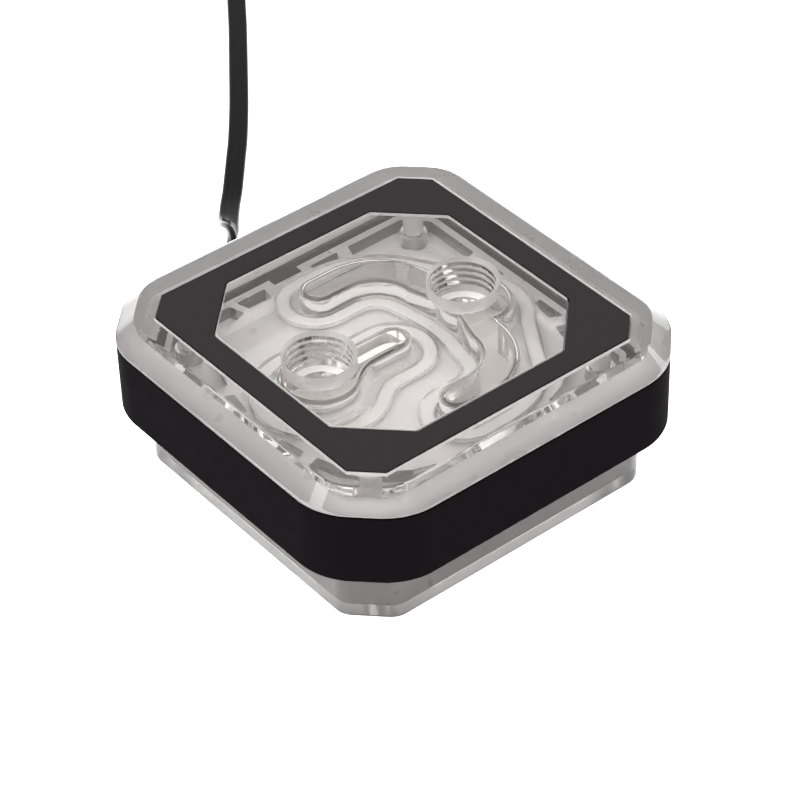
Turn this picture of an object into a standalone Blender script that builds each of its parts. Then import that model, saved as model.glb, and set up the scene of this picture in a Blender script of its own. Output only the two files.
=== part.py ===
"""Clear CPU water block with two threaded ports, milled channels, a light slot and a finned cold plate.

Metres, +Z up. The origin is the centre of the underside, the front faces -Y and the lead leaves at +Y.
"""

import math
from collections import namedtuple

import bmesh
import bpy
from mathutils import Matrix, Vector

MM = 0.001
SEAT = 0.3 * MM                    # gap that pieces keep where they seat on each other

# Heights of the stack, measured from the underside of the cold plate
FOOT = 0.5 * MM                    # the cold plate stands this far below the lower block
BLOCK_H = 29.4 * MM                # both clear blocks together
BASE_H = 12.5 * MM                 # lower clear block
FLANGE_H = 3.6 * MM                # bevelled flange that covers the ring
FLANGE_LAND = 0.3 * MM             # upright edge under the bevel
RING_OVER = 0.5 * MM               # the ring reaches this far below the joint of the blocks

# Outlines seen from above: half width, corner chamfer along a side, fillet of the chamfer's ends
COLUMN_HALF = 32.65 * MM
COLUMN_LEG = 6.6 * MM
COLUMN_FILLET = 4.0 * MM
RING_WALL = 5.35 * MM
RING_HALF = COLUMN_HALF + RING_WALL
RING_LEG = 10.4 * MM
RING_FILLET = 12.0 * MM
RING_BREAK = 0.3 * MM              # broken edges of the ring
BEVEL_RUN = 4.1 * MM
FACE_HALF = RING_HALF - BEVEL_RUN
FACE_LEG = 7.4 * MM
FACE_FILLET = 8.0 * MM
TRIM_MARGIN = 3.9 * MM
TRIM_HALF = FACE_HALF - TRIM_MARGIN
TRIM_LEG = 4.34 * MM
TRIM_FILLET = 0.3 * MM
TRIM_BAND = 4.5 * MM
WINDOW_HALF = TRIM_HALF - TRIM_BAND
WINDOW_LEG = 9.9 * MM
WINDOW_FILLET = 1.2 * MM
TRIM_T = 1.0 * MM
LIP_W = 0.9 * MM                   # lip of the ring, trapped between the blocks
LIP_T = 0.8 * MM

# What the column holds is laid out in hundredths of its half width, so that the plan follows its size
PLAN = COLUMN_HALF / 100

# Ports and channels in the upper block
PORT_X = 47.32 * PLAN
PORT_R = 6.15 * MM                 # between the thread's crests and roots
PORT_DEPTH = 6.9 * MM
PORT_MOUTH = 0.3 * MM              # chamfer at the mouth
PORT_HOLE_R = 4.0 * MM
PORT_WEB = 2.0 * MM                # between a port's floor and the channel under it
INLET_R = 22.05 * PLAN             # chamber under the inlet port
INLET_HALF = 9.65 * PLAN           # half width of the channel from it to the centre
OUTLET_X = 53.9 * PLAN             # chamber under the outlet port
OUTLET_RX = 19.6 * PLAN
OUTLET_RY = 23.89 * PLAN
BEND_X = 9.19 * PLAN               # centre of the two curved return channels
BEND_Y = 25.73 * PLAN
BEND_IN = 21.13 * PLAN
BEND_OUT = 41.65 * PLAN
RETURN_X = -3.68 * PLAN            # centre of their closed round ends

# Seals
SEAL_HALF = 1.25 * MM              # half width of the two flat channel seals
SEAL_T = 1.5 * MM
SEAL_SIDE = 0.15 * MM              # room beside a seal in its groove
INLET_SEAL_R = 32.92 * PLAN
INLET_SEAL_HALF = 19.14 * PLAN
OUTLET_SEAL_OUT = 9.8 * PLAN       # from the channel's outer wall to the seal
OUTLET_SEAL_IN = 5.21 * PLAN       # from its inner wall to the seal
OUTLET_SEAL_PORT = 33.69 * PLAN    # seal's radius round the outlet port
OUTLET_SEAL_BOW = 3.52 * PLAN      # how far the seal bows towards the outlet port
PLATE_SEAL_R = 0.9 * MM
PLATE_SEAL_X = 50.23 * PLAN
PLATE_SEAL_Y = 65.24 * PLAN
PLATE_SEAL_CORNER = 18.38 * PLAN

# Lower block: light slot, pockets, ways for the water
SLOT_WALL = 1.25 * MM              # clear wall outside the light slot
SLOT_W = 1.8 * MM
SLOT_DEPTH = 9.4 * MM
NOTCH_HALF = 3.0 * MM
NOTCH_W = 1.7 * MM
POCKET_WALL = 1.3 * MM             # between the light slot and the pockets
POCKET_FAR = COLUMN_HALF - SLOT_WALL - SLOT_W - POCKET_WALL
POCKET_NEAR = POCKET_FAR - 1.7 * MM
POCKET_DEPTH = 5.0 * MM
POCKET_SLANT = 1.0 * MM
POCKETS = ((15.3 * PLAN, 33.1 * PLAN), (37.7 * PLAN, 67.4 * PLAN))
JET_HOLE_X = 2.6 * MM
JET_HOLE_Y = 1.5 * MM
MANIFOLD_X = 36.75 * PLAN
MANIFOLD_Y = 2.0 * MM
MANIFOLD_DEPTH = 2.0 * MM
RETURN_Y = 52.07 * PLAN            # centre line of the return slots
RETURN_HALF = 2.0 * MM
RETURN_LENGTH = 6.5 * MM
CAVITY_X = 41.35 * PLAN
CAVITY_Y = 59.11 * PLAN
CAVITY_CORNER = 2.5 * MM
JET_HALF_X = CAVITY_X - 2 * SEAT
JET_HALF_Y = 41.35 * PLAN

# Cold plate, fins and jet plate
PLATE_HALF = 85.76 * PLAN
PLATE_LEG = 11.3 * MM
PLATE_FILLET = 1.0 * MM
PLATE_T = 4.7 * MM
PLATE_SIDE = 0.3 * MM
FIN_COUNT = 26
FIN_PITCH = 2.818 * PLAN
FIN_T = FIN_PITCH / 2
FIN_H = 1.6 * MM
FIN_HALF_LENGTH = 39.82 * PLAN
JET_T = 0.6 * MM
JET_SLOT_HALF = 0.6 * MM

# Screws
CORNER_SCREW = 75.04 * PLAN        # place of the four long screws on both axes
CORNER_R = 1.95 * MM
CORNER_HEAD_R = 3.5 * MM
CORNER_HEAD_H = 2.6 * MM
CORNER_SEAT_DEPTH = 4.5 * MM       # seat of the head below the top face
CORNER_TIP = 2.2 * MM
CORNER_SLEEVE_R = 2.55 * MM        # wide upper part of the bore in the lower block
CORNER_SLEEVE_DEPTH = 5.0 * MM
PLATE_SCREW_FAR = 75.65 * PLAN
PLATE_SCREW_SIDE = 39.82 * PLAN
PLATE_SCREW_R = 1.2 * MM
PLATE_HEAD_R = 2.2 * MM
PLATE_HEAD_H = 1.3 * MM
PLATE_SCREW_TOP = 10.2 * MM
HEX_CORNER = 1.2                   # hex key width over its flats, as a share of the shank's radius

# Lights and lead
STRIP_T = 0.3 * MM
STRIP_H = SLOT_DEPTH - 0.4 * MM
STRIP_GAP = 0.25 * MM
LED_T = 0.75 * MM
LED_W = 3.5 * MM
LED_PITCH = 42.88 * PLAN
LEDS_A_SIDE = 4
LEAD_R = 2.0 * MM
EXIT_DROP = 3.4 * MM               # from the ring's lower edge down to the lead
GROMMET_R = 2.2 * MM
GROMMET_FLANGE_R = 3.0 * MM
GROMMET_OUT = 1.6 * MM
LEAD_T = 1.4 * MM                  # the flat lead's thickness, which stands radially in the coil
COIL_TURNS = 2.5
COIL_PITCH = 1.8 * MM
COIL_R = 22.2 * MM                 # centre line of the outer turn
COIL_CENTRE = Vector((99.4 * MM, COLUMN_HALF + 107.65 * MM))
COIL_START = math.radians(141.9)
TAIL_R = 8.5 * MM
TAIL_FROM = math.radians(70)
TAIL_TO = math.radians(150)
TIE_T = 0.8 * MM
TIE_W = 2.5 * MM
TIE_ROOM = 1.4 * MM                # the turns hump up by this much where they pass over the tie
TIE_AT = math.radians(48)
TIE_HEAD = Vector((4.2 * MM, 4.0 * MM, 3.2 * MM))
SHELL = Vector((10.2 * MM, 13.0 * MM, 2.8 * MM))
SOCKET = 1.6 * MM
CONTACT = 0.8 * MM
CONTACT_PITCH = 2.54 * MM
SOCKET_DEPTH = 8.0 * MM
CONTACT_LENGTH = 6.0 * MM

# The lead's course from the rear wall to the coil, in millimetres from the middle of that wall's foot
LEAD_ROUTE = (
    (0.0, 3.35, 9.1), (0.0, 10.35, 9.1), (1.6, 16.55, 8.8), (5.4, 22.75, 8.0), (10.2, 28.15, 6.7),
    (13.8, 33.55, 4.8), (16.6, 37.75, 3.4), (20.7, 42.95, 2.3), (24.7, 47.45, 2.0), (31.9, 55.95, 2.0),
    (35.6, 60.35, 2.0), (42.7, 69.45, 2.0), (51.3, 81.05, 2.0), (60.2, 93.15, 2.0), (67.0, 102.65, 2.0),
    (74.5, 111.95, 2.0),
)

# Levels worked out from the sizes above
TOP_Z = FOOT + BLOCK_H
BASE_TOP = FOOT + BASE_H
TOP_BOTTOM = BASE_TOP + SEAT
FLANGE_BOTTOM = TOP_Z - FLANGE_H
RING_TOP = FLANGE_BOTTOM - SEAT
RING_BOTTOM = BASE_TOP - RING_OVER
EXIT_Z = RING_BOTTOM - EXIT_DROP
GROOVE_Z = TOP_Z - TRIM_T - SEAT
PORT_FLOOR = TOP_Z - PORT_DEPTH
CHANNEL_TOP = PORT_FLOOR - PORT_WEB
PLATE_TOP = PLATE_T
RECESS_Z = PLATE_TOP + SEAT
FIN_TOP = PLATE_TOP + FIN_H
CAVITY_Z = FIN_TOP + SEAT
JET_Z = CAVITY_Z
JET_POCKET_Z = JET_Z + JET_T + SEAT
CORNER_SEAT = TOP_Z - CORNER_SEAT_DEPTH
PAST = 1.0 * MM                    # how far a cutter runs past a face

Outline = namedtuple("Outline", "half leg fillet")
COLUMN = Outline(COLUMN_HALF, COLUMN_LEG, COLUMN_FILLET)
RING = Outline(RING_HALF, RING_LEG, RING_FILLET)
FACE = Outline(FACE_HALF, FACE_LEG, FACE_FILLET)
TRIM = Outline(TRIM_HALF, TRIM_LEG, TRIM_FILLET)
WINDOW = Outline(WINDOW_HALF, WINDOW_LEG, WINDOW_FILLET)
PLATE = Outline(PLATE_HALF, PLATE_LEG, PLATE_FILLET)


def inset(outline, distance):
    """The outline moved inwards by a distance, or outwards by a negative one."""
    leg = outline.leg - distance * (2 - math.sqrt(2))
    return Outline(outline.half - distance, leg, max(outline.fillet - distance, 0.2 * MM))


def filleted(corners, radius, steps):
    """Points of a polygon whose corners are rounded by a radius."""
    points = []
    for index, corner in enumerate(corners):
        here = Vector(corner)
        before = (Vector(corners[index - 1]) - here).normalized()
        after = (Vector(corners[(index + 1) % len(corners)]) - here).normalized()
        half_angle = before.angle(after) / 2
        middle = here + (before + after).normalized() * radius / math.sin(half_angle)
        start = here + before * radius / math.tan(half_angle) - middle
        turn = start.angle_signed(here + after * radius / math.tan(half_angle) - middle)
        for step in range(steps + 1):
            spoke = start.copy()
            spoke.rotate(rotation_2d(-turn * step / steps))
            points.append(middle + spoke)
    return points


def rotation_2d(angle):
    return Matrix.Rotation(angle, 2)


def octagon(outline, steps=3):
    """A square with chamfered corners, clockwise from the left side's rear corner."""
    half, leg = outline.half, outline.leg
    cut = half - leg
    corners = ((-half, cut), (-cut, half), (cut, half), (half, cut),
               (half, -cut), (cut, -half), (-cut, -half), (-half, -cut))
    return filleted(corners, outline.fillet, steps)


def rectangle(half_x, half_y, radius=0.2 * MM, steps=2, centre=(0, 0)):
    x, y = centre
    left, right, front, back = x - half_x, x + half_x, y - half_y, y + half_y
    corners = ((left, back), (right, back), (right, front), (left, front))
    return filleted(corners, radius, steps)


def arc(centre_x, centre_y, radius_x, start, end, steps, radius_y=None):
    """Points of an arc between two angles in degrees."""
    radius_y = radius_y or radius_x
    angles = [math.radians(start + (end - start) * step / steps) for step in range(steps + 1)]
    return [Vector((centre_x + radius_x * math.cos(a), centre_y + radius_y * math.sin(a))) for a in angles]


def circle(radius, segments=16, centre=(0, 0)):
    return arc(centre[0], centre[1], radius, 0, 360 * (segments - 1) / segments, segments - 1)


def hexagon(flat, segments=24):
    """A hexagon with as many points as a circle, so that the two can be bridged."""
    points = []
    for step in range(segments):
        angle = 2 * math.pi * step / segments
        off_flat = (angle + math.pi / 6) % (math.pi / 3) - math.pi / 6
        points.append(Vector((math.cos(angle), math.sin(angle))) * flat / math.cos(off_flat))
    return points


def mirrored_y(points):
    return [Vector((point.x, -point.y)) for point in points]


def add_sections(bm, sections, closed):
    """Bridges a run of outlines at their heights; the run is capped, or closed on itself."""
    rings = [[bm.verts.new((point.x, point.y, height)) for point in outline] for outline, height in sections]
    pairs = list(zip(rings, rings[1:]))
    if closed:
        pairs.append((rings[-1], rings[0]))
    else:
        bm.faces.new(rings[0])
        bm.faces.new(rings[-1])
    for lower, upper in pairs:
        for index in range(len(lower)):
            before = index - 1
            bm.faces.new((lower[before], lower[index], upper[index], upper[before]))


def solid(name, *parts, closed=False):
    """An object of one or more solids, each a run of (outline, height) sections."""
    bm = bmesh.new()
    for sections in parts:
        add_sections(bm, sections, closed)
    bmesh.ops.recalc_face_normals(bm, faces=bm.faces)
    mesh = bpy.data.meshes.new(name)
    bm.to_mesh(mesh)
    bm.free()
    return placed(name, mesh)


def placed(name, data):
    thing = bpy.data.objects.new(name, data)
    bpy.context.scene.collection.objects.link(thing)
    return thing


def prism(outline, low, high):
    return [(outline, low), (outline, high)]


def cut(target, name, *parts, closed=False):
    """Cuts solids out of the target with one Boolean."""
    cutter = solid(name, *parts, closed=closed)
    cutter.hide_render = True
    cutter.display_type = "WIRE"
    modifier = target.modifiers.new(name, "BOOLEAN")
    modifier.operation = "DIFFERENCE"
    modifier.object = cutter
    return cutter


def material(name, colour, roughness, metallic=0.0, transmission=0.0):
    made = bpy.data.materials.new(name)
    made.use_nodes = True
    shader = made.node_tree.nodes["Principled BSDF"]
    shader.inputs["Base Color"].default_value = (*colour, 1.0)
    shader.inputs["Roughness"].default_value = roughness
    shader.inputs["Metallic"].default_value = metallic
    shader.inputs["Transmission Weight"].default_value = transmission
    return made


def finish(thing, made, smooth=True):
    thing.data.materials.append(made)
    if smooth and thing.type == "MESH":
        thing.data.shade_smooth()
        thing.data.set_sharp_from_angle(angle=math.radians(35))
    return thing


def tube(name, path, radius, cyclic=False):
    """A round cord along a path."""
    curve = bpy.data.curves.new(name, "CURVE")
    curve.dimensions = "3D"
    curve.bevel_depth = radius
    curve.bevel_resolution = 2
    curve.use_fill_caps = True
    spline = curve.splines.new("POLY")
    spline.points.add(len(path) - 1)
    for point, place in zip(spline.points, path):
        point.co = (*place, 1.0)
    spline.use_cyclic_u = cyclic
    return placed(name, curve)


def smooth_course(route, steps):
    """Points of a smooth curve through every point of a route."""
    padded = [2 * route[0] - route[1], *route, 2 * route[-1] - route[-2]]
    course = []
    for a, b, c, d in zip(padded, padded[1:], padded[2:], padded[3:]):
        for step in range(steps):
            t = step / steps
            course.append(0.5 * (2 * b + (c - a) * t + (2 * a - 5 * b + 4 * c - d) * t ** 2
                                 + (3 * b - a - 3 * c + d) * t ** 3))
    course.append(route[-1])
    return course


# Shapes of the water's ways, seen from above

def inlet_outline(chamber, half, steps=8):
    """The round chamber under the inlet port, narrowing to a channel that ends at the centre."""
    edge = math.radians(50)
    wide_x = -PORT_X + chamber * math.cos(edge)
    wide = chamber * math.sin(edge)
    narrow_x = wide_x + 1.4 * (wide - half) + 1.5 * MM
    upper = []
    for step in range(steps + 1):
        t = step / steps
        ease = t * t * (3 - 2 * t)
        upper.append(Vector((wide_x + (narrow_x - wide_x) * t, wide + (half - wide) * ease)))
    nose = arc(0, 0, half, 90, -90, 11)
    back = arc(-PORT_X, 0, chamber, -50, -310, 18)
    return upper[1:] + nose + mirrored_y(upper[::-1])[:-1] + back


def return_outline():
    """One curved return channel, from its closed end over the fins to the outlet chamber."""
    end = arc(RETURN_X, BEND_Y + (BEND_OUT + BEND_IN) / 2, (BEND_OUT - BEND_IN) / 2, 90, 270, 8)
    inner = arc(BEND_X, BEND_Y, BEND_IN, 90, 0, 8)
    outer = arc(BEND_X, BEND_Y, BEND_OUT, 0, 90, 12)
    inside_chamber = [Vector((OUTLET_X - OUTLET_RX + PAST, PAST)), Vector((BEND_X + BEND_OUT, PAST))]
    return end + inner + inside_chamber + outer


def outlet_seal_path():
    """The closed course of the seal round both return channels and the outlet chamber."""
    far = BEND_OUT + OUTLET_SEAL_OUT
    near = BEND_IN - OUTLET_SEAL_IN
    cap = (far - near) / 2
    upper = arc(RETURN_X, BEND_Y + near + cap, cap, 270, 90, 10)
    upper += arc(BEND_X, BEND_Y, far, 90, 25, 8)
    upper += arc(PORT_X, 0, OUTLET_SEAL_PORT, 48, 4, 6)
    inner_top = arc(BEND_X, BEND_Y, near, 0, 90, 6)
    bow = []
    for step in range(1, 9):
        y = BEND_Y * (2 * step / 9 - 1)
        bow.append(Vector((BEND_X + near + OUTLET_SEAL_BOW * math.cos(math.pi * y / (2 * BEND_Y)), y)))
    return upper + mirrored_y(upper[::-1]) + mirrored_y(inner_top[::-1])[1:] + bow + inner_top[:-1]


def groove_sections(path, half_width, low, high):
    """A closed groove of constant width along a path."""
    inner, outer = [], []
    for index, point in enumerate(path):
        along = (path[(index + 1) % len(path)] - path[index - 1]).normalized()
        across = Vector((along.y, -along.x)) * half_width
        inner.append(point - across)
        outer.append(point + across)
    return [(inner, low), (outer, low), (outer, high), (inner, high)]


def lifted(path, height):
    return [Vector((point.x, point.y, height)) for point in path]


def rounded_path(half_x, half_y, corner):
    return rectangle(half_x, half_y, corner, 6)


def corner_places():
    return [Vector((x * CORNER_SCREW, y * CORNER_SCREW)) for y in (-1, 1) for x in (-1, 1)]


def plate_screw_places():
    places = []
    for near in (-PLATE_SCREW_SIDE, PLATE_SCREW_SIDE):
        for far in (-PLATE_SCREW_FAR, PLATE_SCREW_FAR):
            places += [Vector((near, far)), Vector((far, near))]
    return places


def make_clear_top(made):
    """The upper block: bevelled flange, ports, channels, seal grooves, screw bores and the trim's groove."""
    rebate = octagon(inset(COLUMN, LIP_W))
    column = octagon(COLUMN)
    lip_top = TOP_BOTTOM + LIP_T + SEAT
    block = solid("clear_top", [
        (rebate, TOP_BOTTOM), (rebate, lip_top), (column, lip_top), (column, FLANGE_BOTTOM),
        (octagon(RING), FLANGE_BOTTOM), (octagon(RING), FLANGE_BOTTOM + FLANGE_LAND), (octagon(FACE), TOP_Z),
    ])
    outside, inside = octagon(inset(TRIM, -SEAT)), octagon(inset(WINDOW, SEAT))
    cut(block, "trim_groove", [(outside, GROOVE_Z), (outside, TOP_Z + PAST),
                               (inside, TOP_Z + PAST), (inside, GROOVE_Z)], closed=True)
    ports = []
    for side in (-1, 1):
        hole, bore, mouth = [circle(radius, 32, (side * PORT_X, 0))
                             for radius in (PORT_HOLE_R, PORT_R, PORT_R + PORT_MOUTH)]
        ports.append([(hole, CHANNEL_TOP - PAST), (hole, PORT_FLOOR), (bore, PORT_FLOOR),
                      (bore, TOP_Z - PORT_MOUTH), (mouth, TOP_Z), (mouth, TOP_Z + PAST)])
    cut(block, "ports", *ports)
    cut(block, "inlet_channel", prism(inlet_outline(INLET_R, INLET_HALF), TOP_BOTTOM - PAST, CHANNEL_TOP))
    cut(block, "return_channels", prism(return_outline(), TOP_BOTTOM - PAST, CHANNEL_TOP),
        prism(mirrored_y(return_outline()), TOP_BOTTOM - PAST, CHANNEL_TOP))
    chamber = arc(OUTLET_X, 0, OUTLET_RX, 0, 345, 23, OUTLET_RY)
    cut(block, "outlet_chamber", prism(chamber, TOP_BOTTOM - PAST, CHANNEL_TOP))
    groove_top = TOP_BOTTOM + SEAL_T + SEAT
    for name, path in seal_paths().items():
        groove = groove_sections(path, SEAL_HALF + SEAL_SIDE, TOP_BOTTOM - PAST, groove_top)
        cut(block, name + "_groove", groove, closed=True)
    bores = []
    for place in corner_places():
        narrow, wide = circle(CORNER_R + SEAT, 16, place), circle(CORNER_HEAD_R + SEAT, 16, place)
        bores.append([(narrow, TOP_BOTTOM - PAST), (narrow, CORNER_SEAT), (wide, CORNER_SEAT), (wide, TOP_Z)])
    cut(block, "head_bores", *bores)
    return finish(block, made)


def seal_paths():
    return {
        "inlet_seal": inlet_outline(INLET_SEAL_R, INLET_SEAL_HALF),
        "outlet_seal": outlet_seal_path(),
    }


def make_channel_seals(made):
    """Flat seals with broken edges."""
    edge = 0.3 * MM
    for name, path in seal_paths().items():
        wide = groove_sections(path, SEAL_HALF, TOP_BOTTOM + edge, TOP_BOTTOM + SEAL_T - edge)
        flat = groove_sections(path, SEAL_HALF - edge, TOP_BOTTOM, TOP_BOTTOM + SEAL_T)
        sections = [flat[0], flat[1], wide[1], wide[2], flat[2], flat[3], wide[3], wide[0]]
        finish(solid(name, sections, closed=True), made)


def make_trim(made):
    """The black frame, flush with the top face."""
    low = GROOVE_Z + SEAT
    outside, inside = octagon(TRIM), octagon(WINDOW)
    sections = [(outside, low), (outside, TOP_Z), (inside, TOP_Z), (inside, low)]
    return finish(solid("trim_frame", sections, closed=True), made)


def make_ring(made):
    """The black ring round the column, with its trapped lip."""
    outside, edge = octagon(RING), octagon(inset(RING, RING_BREAK))
    bore, lip = octagon(inset(COLUMN, -SEAT)), octagon(inset(COLUMN, LIP_W - SEAT))
    lip_low, lip_high = TOP_BOTTOM, TOP_BOTTOM + LIP_T
    ring = solid("outer_ring", [
        (edge, RING_BOTTOM), (outside, RING_BOTTOM + RING_BREAK),
        (outside, RING_TOP - RING_BREAK), (edge, RING_TOP),
        (bore, RING_TOP), (bore, lip_high), (lip, lip_high), (lip, lip_low), (bore, lip_low),
        (bore, RING_BOTTOM),
    ], closed=True)
    return finish(ring, made)


def pocket_parts():
    """Slanted pockets along all four sides of the lower block."""
    parts = []
    for low, high in POCKETS:
        shape = [Vector((low, POCKET_FAR)), Vector((high, POCKET_FAR)),
                 Vector((high - POCKET_SLANT, POCKET_NEAR)), Vector((low + POCKET_SLANT, POCKET_NEAR))]
        for mirror in (-1, 1):
            side = [Vector((mirror * point.x, point.y)) for point in shape]
            for quarter in range(4):
                outline = [rotation_2d(math.pi / 2 * quarter) @ point for point in side]
                parts.append(prism(outline, BASE_TOP - POCKET_DEPTH, BASE_TOP + PAST))
    return parts


def make_base(made):
    """The lower block: light slot, pockets, water's ways, fin cavity and the cold plate's recess."""
    edge = 0.3 * MM
    column = octagon(COLUMN)
    foot = octagon(inset(COLUMN, edge))
    base = solid("base_body", [(foot, FOOT), (column, FOOT + edge), (column, BASE_TOP)])
    recess = octagon(inset(PLATE, -PLATE_SIDE))
    cut(base, "plate_recess", prism(recess, FOOT - PAST, RECESS_Z))
    cut(base, "fin_cavity", prism(rectangle(CAVITY_X, CAVITY_Y, CAVITY_CORNER, 4), RECESS_Z - PAST, CAVITY_Z))
    jet_pocket = rectangle(JET_HALF_X + SEAT, JET_HALF_Y + SEAT)
    cut(base, "jet_pocket", prism(jet_pocket, RECESS_Z + SEAT, JET_POCKET_Z))
    manifold_top = JET_POCKET_Z + MANIFOLD_DEPTH
    cut(base, "jet_manifold", prism(rectangle(MANIFOLD_X, MANIFOLD_Y, 1.5 * MM, 4), JET_Z, manifold_top))
    cut(base, "jet_hole", prism(rectangle(JET_HOLE_X, JET_HOLE_Y, 1.2 * MM, 4), JET_Z, BASE_TOP + PAST))
    returns = []
    middle = RETURN_X + RETURN_LENGTH / 2
    for side in (-1, 1):
        slot = rectangle(RETURN_LENGTH / 2 + RETURN_HALF, RETURN_HALF, RETURN_HALF * 0.98, 6,
                         (middle, side * RETURN_Y))
        returns.append(prism(slot, CAVITY_Z - PAST, BASE_TOP + PAST))
    cut(base, "return_slots", *returns)
    path = rounded_path(PLATE_SEAL_X, PLATE_SEAL_Y, PLATE_SEAL_CORNER)
    groove_top = RECESS_Z + 2 * PLATE_SEAL_R + SEAT
    cut(base, "plate_seal_groove",
        groove_sections(path, PLATE_SEAL_R + SEAL_SIDE, RECESS_Z - PAST, groove_top), closed=True)
    outer, inner = octagon(inset(COLUMN, SLOT_WALL)), octagon(inset(COLUMN, SLOT_WALL + SLOT_W))
    slot_floor = BASE_TOP - SLOT_DEPTH
    cut(base, "light_slot", [(outer, slot_floor), (outer, BASE_TOP + PAST),
                             (inner, BASE_TOP + PAST), (inner, slot_floor)], closed=True)
    notch_y = COLUMN_HALF - SLOT_WALL - SLOT_W
    notch = rectangle(NOTCH_HALF, NOTCH_W, centre=(0, notch_y))
    cut(base, "lead_notch", prism(notch, slot_floor, BASE_TOP + PAST))
    cut(base, "pockets", *pocket_parts())
    bores = []
    for place in corner_places():
        narrow, wide = circle(CORNER_R + SEAT, 16, place), circle(CORNER_SLEEVE_R, 16, place)
        shoulder = BASE_TOP - CORNER_SLEEVE_DEPTH
        bores.append([(narrow, FOOT - PAST), (narrow, shoulder), (wide, shoulder), (wide, BASE_TOP + PAST)])
    cut(base, "corner_bores", *bores)
    taps = [prism(circle(PLATE_SCREW_R + SEAT, 12, place), RECESS_Z - PAST, PLATE_SCREW_TOP + SEAT)
            for place in plate_screw_places()]
    cut(base, "plate_screw_bores", *taps)
    way_out = cut(base, "lead_way", prism(circle(GROMMET_R + SEAT, 20), -SLOT_WALL - PAST, SLOT_WALL + PAST))
    way_out.location = (0, COLUMN_HALF - SLOT_WALL / 2, EXIT_Z)
    way_out.rotation_euler = (-math.pi / 2, 0, 0)
    return finish(base, made)


def fin_comb():
    """Profile across the fins: a slab with one upright for each fin."""
    foot = PLATE_TOP - PAST
    first = -FIN_PITCH * (FIN_COUNT - 1) / 2
    profile = [Vector((first - FIN_T / 2, foot))]
    for index in range(FIN_COUNT):
        left = first + FIN_PITCH * index - FIN_T / 2
        if index:
            profile.append(Vector((left, PLATE_TOP)))
        profile.append(Vector((left, FIN_TOP)))
        profile.append(Vector((left + FIN_T, FIN_TOP)))
        if index < FIN_COUNT - 1:
            profile.append(Vector((left + FIN_T, PLATE_TOP)))
    profile.append(Vector((-first + FIN_T / 2, foot)))
    return profile


def make_cold_plate(made):
    """The nickel-plated copper plate: flat contact face, fins and countersunk screw holes."""
    edge = 0.25 * MM
    full = octagon(PLATE)
    plate = solid("cold_plate", [(octagon(inset(PLATE, edge)), 0), (full, edge), (full, PLATE_TOP)])
    comb = cut(plate, "fins", prism(fin_comb(), -FIN_HALF_LENGTH, FIN_HALF_LENGTH))
    comb.rotation_euler = (math.pi / 2, 0, 0)
    plate.modifiers["fins"].operation = "UNION"
    holes = []
    for place in plate_screw_places():
        narrow, wide = circle(PLATE_SCREW_R + SEAT, 12, place), circle(PLATE_HEAD_R + SEAT, 12, place)
        seat = PLATE_HEAD_H + 2 * SEAT
        holes.append([(wide, -PAST), (wide, seat), (narrow, seat), (narrow, PLATE_TOP + PAST)])
    cut(plate, "screw_holes", *holes)
    return finish(plate, made)


def make_jet_plate(made):
    outside = rectangle(JET_HALF_X, JET_HALF_Y)
    slot = rectangle(MANIFOLD_X, JET_SLOT_HALF)
    top = JET_Z + JET_T
    plate = solid("jet_plate", [(outside, JET_Z), (outside, top), (slot, top), (slot, JET_Z)], closed=True)
    return finish(plate, made)


def make_plate_seal(made):
    path = rounded_path(PLATE_SEAL_X, PLATE_SEAL_Y, PLATE_SEAL_CORNER)
    finish(tube("plate_seal", lifted(path, RECESS_Z + PLATE_SEAL_R), PLATE_SEAL_R, cyclic=True), made)


def screw_mesh(name, radius, head_radius, length, head_height, sides):
    """A socket-head screw that hangs down from its seat at the origin."""
    shank, head = circle(radius, sides), circle(head_radius, sides)
    tip, rim = circle(radius * 0.7, sides), circle(head_radius - 0.25 * MM, sides)
    socket = hexagon(radius * HEX_CORNER / 2 + 0.4 * MM, sides)
    screw = solid(name, [
        (tip, -length), (shank, -length + 0.5 * MM), (shank, 0), (head, 0),
        (head, head_height - 0.25 * MM), (rim, head_height), (socket, head_height), (socket, head_height / 2),
    ])
    return screw


def copies(pattern, spots, made):
    """Puts one mesh at each spot, a place and a rotation, and numbers the copies from 1."""
    finish(pattern, made)
    mesh, stem = pattern.data, pattern.name
    bpy.data.objects.remove(pattern)
    for number, (place, rotation) in enumerate(spots, 1):
        copy = placed(f"{stem}_{number}", mesh)
        copy.location = place
        copy.rotation_euler = rotation


def make_screws(made):
    seat = CORNER_SEAT + SEAT
    screw = screw_mesh("top_screw", CORNER_R, CORNER_HEAD_R, seat - CORNER_TIP, CORNER_HEAD_H, 18)
    copies(screw, [((*place, seat), (0, 0, 0)) for place in corner_places()], made)
    seat = PLATE_HEAD_H + SEAT
    screw = screw_mesh("plate_screw", PLATE_SCREW_R, PLATE_HEAD_R, PLATE_SCREW_TOP - seat, PLATE_HEAD_H, 12)
    copies(screw, [((*place, seat), (math.pi, 0, 0)) for place in plate_screw_places()], made)


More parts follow.
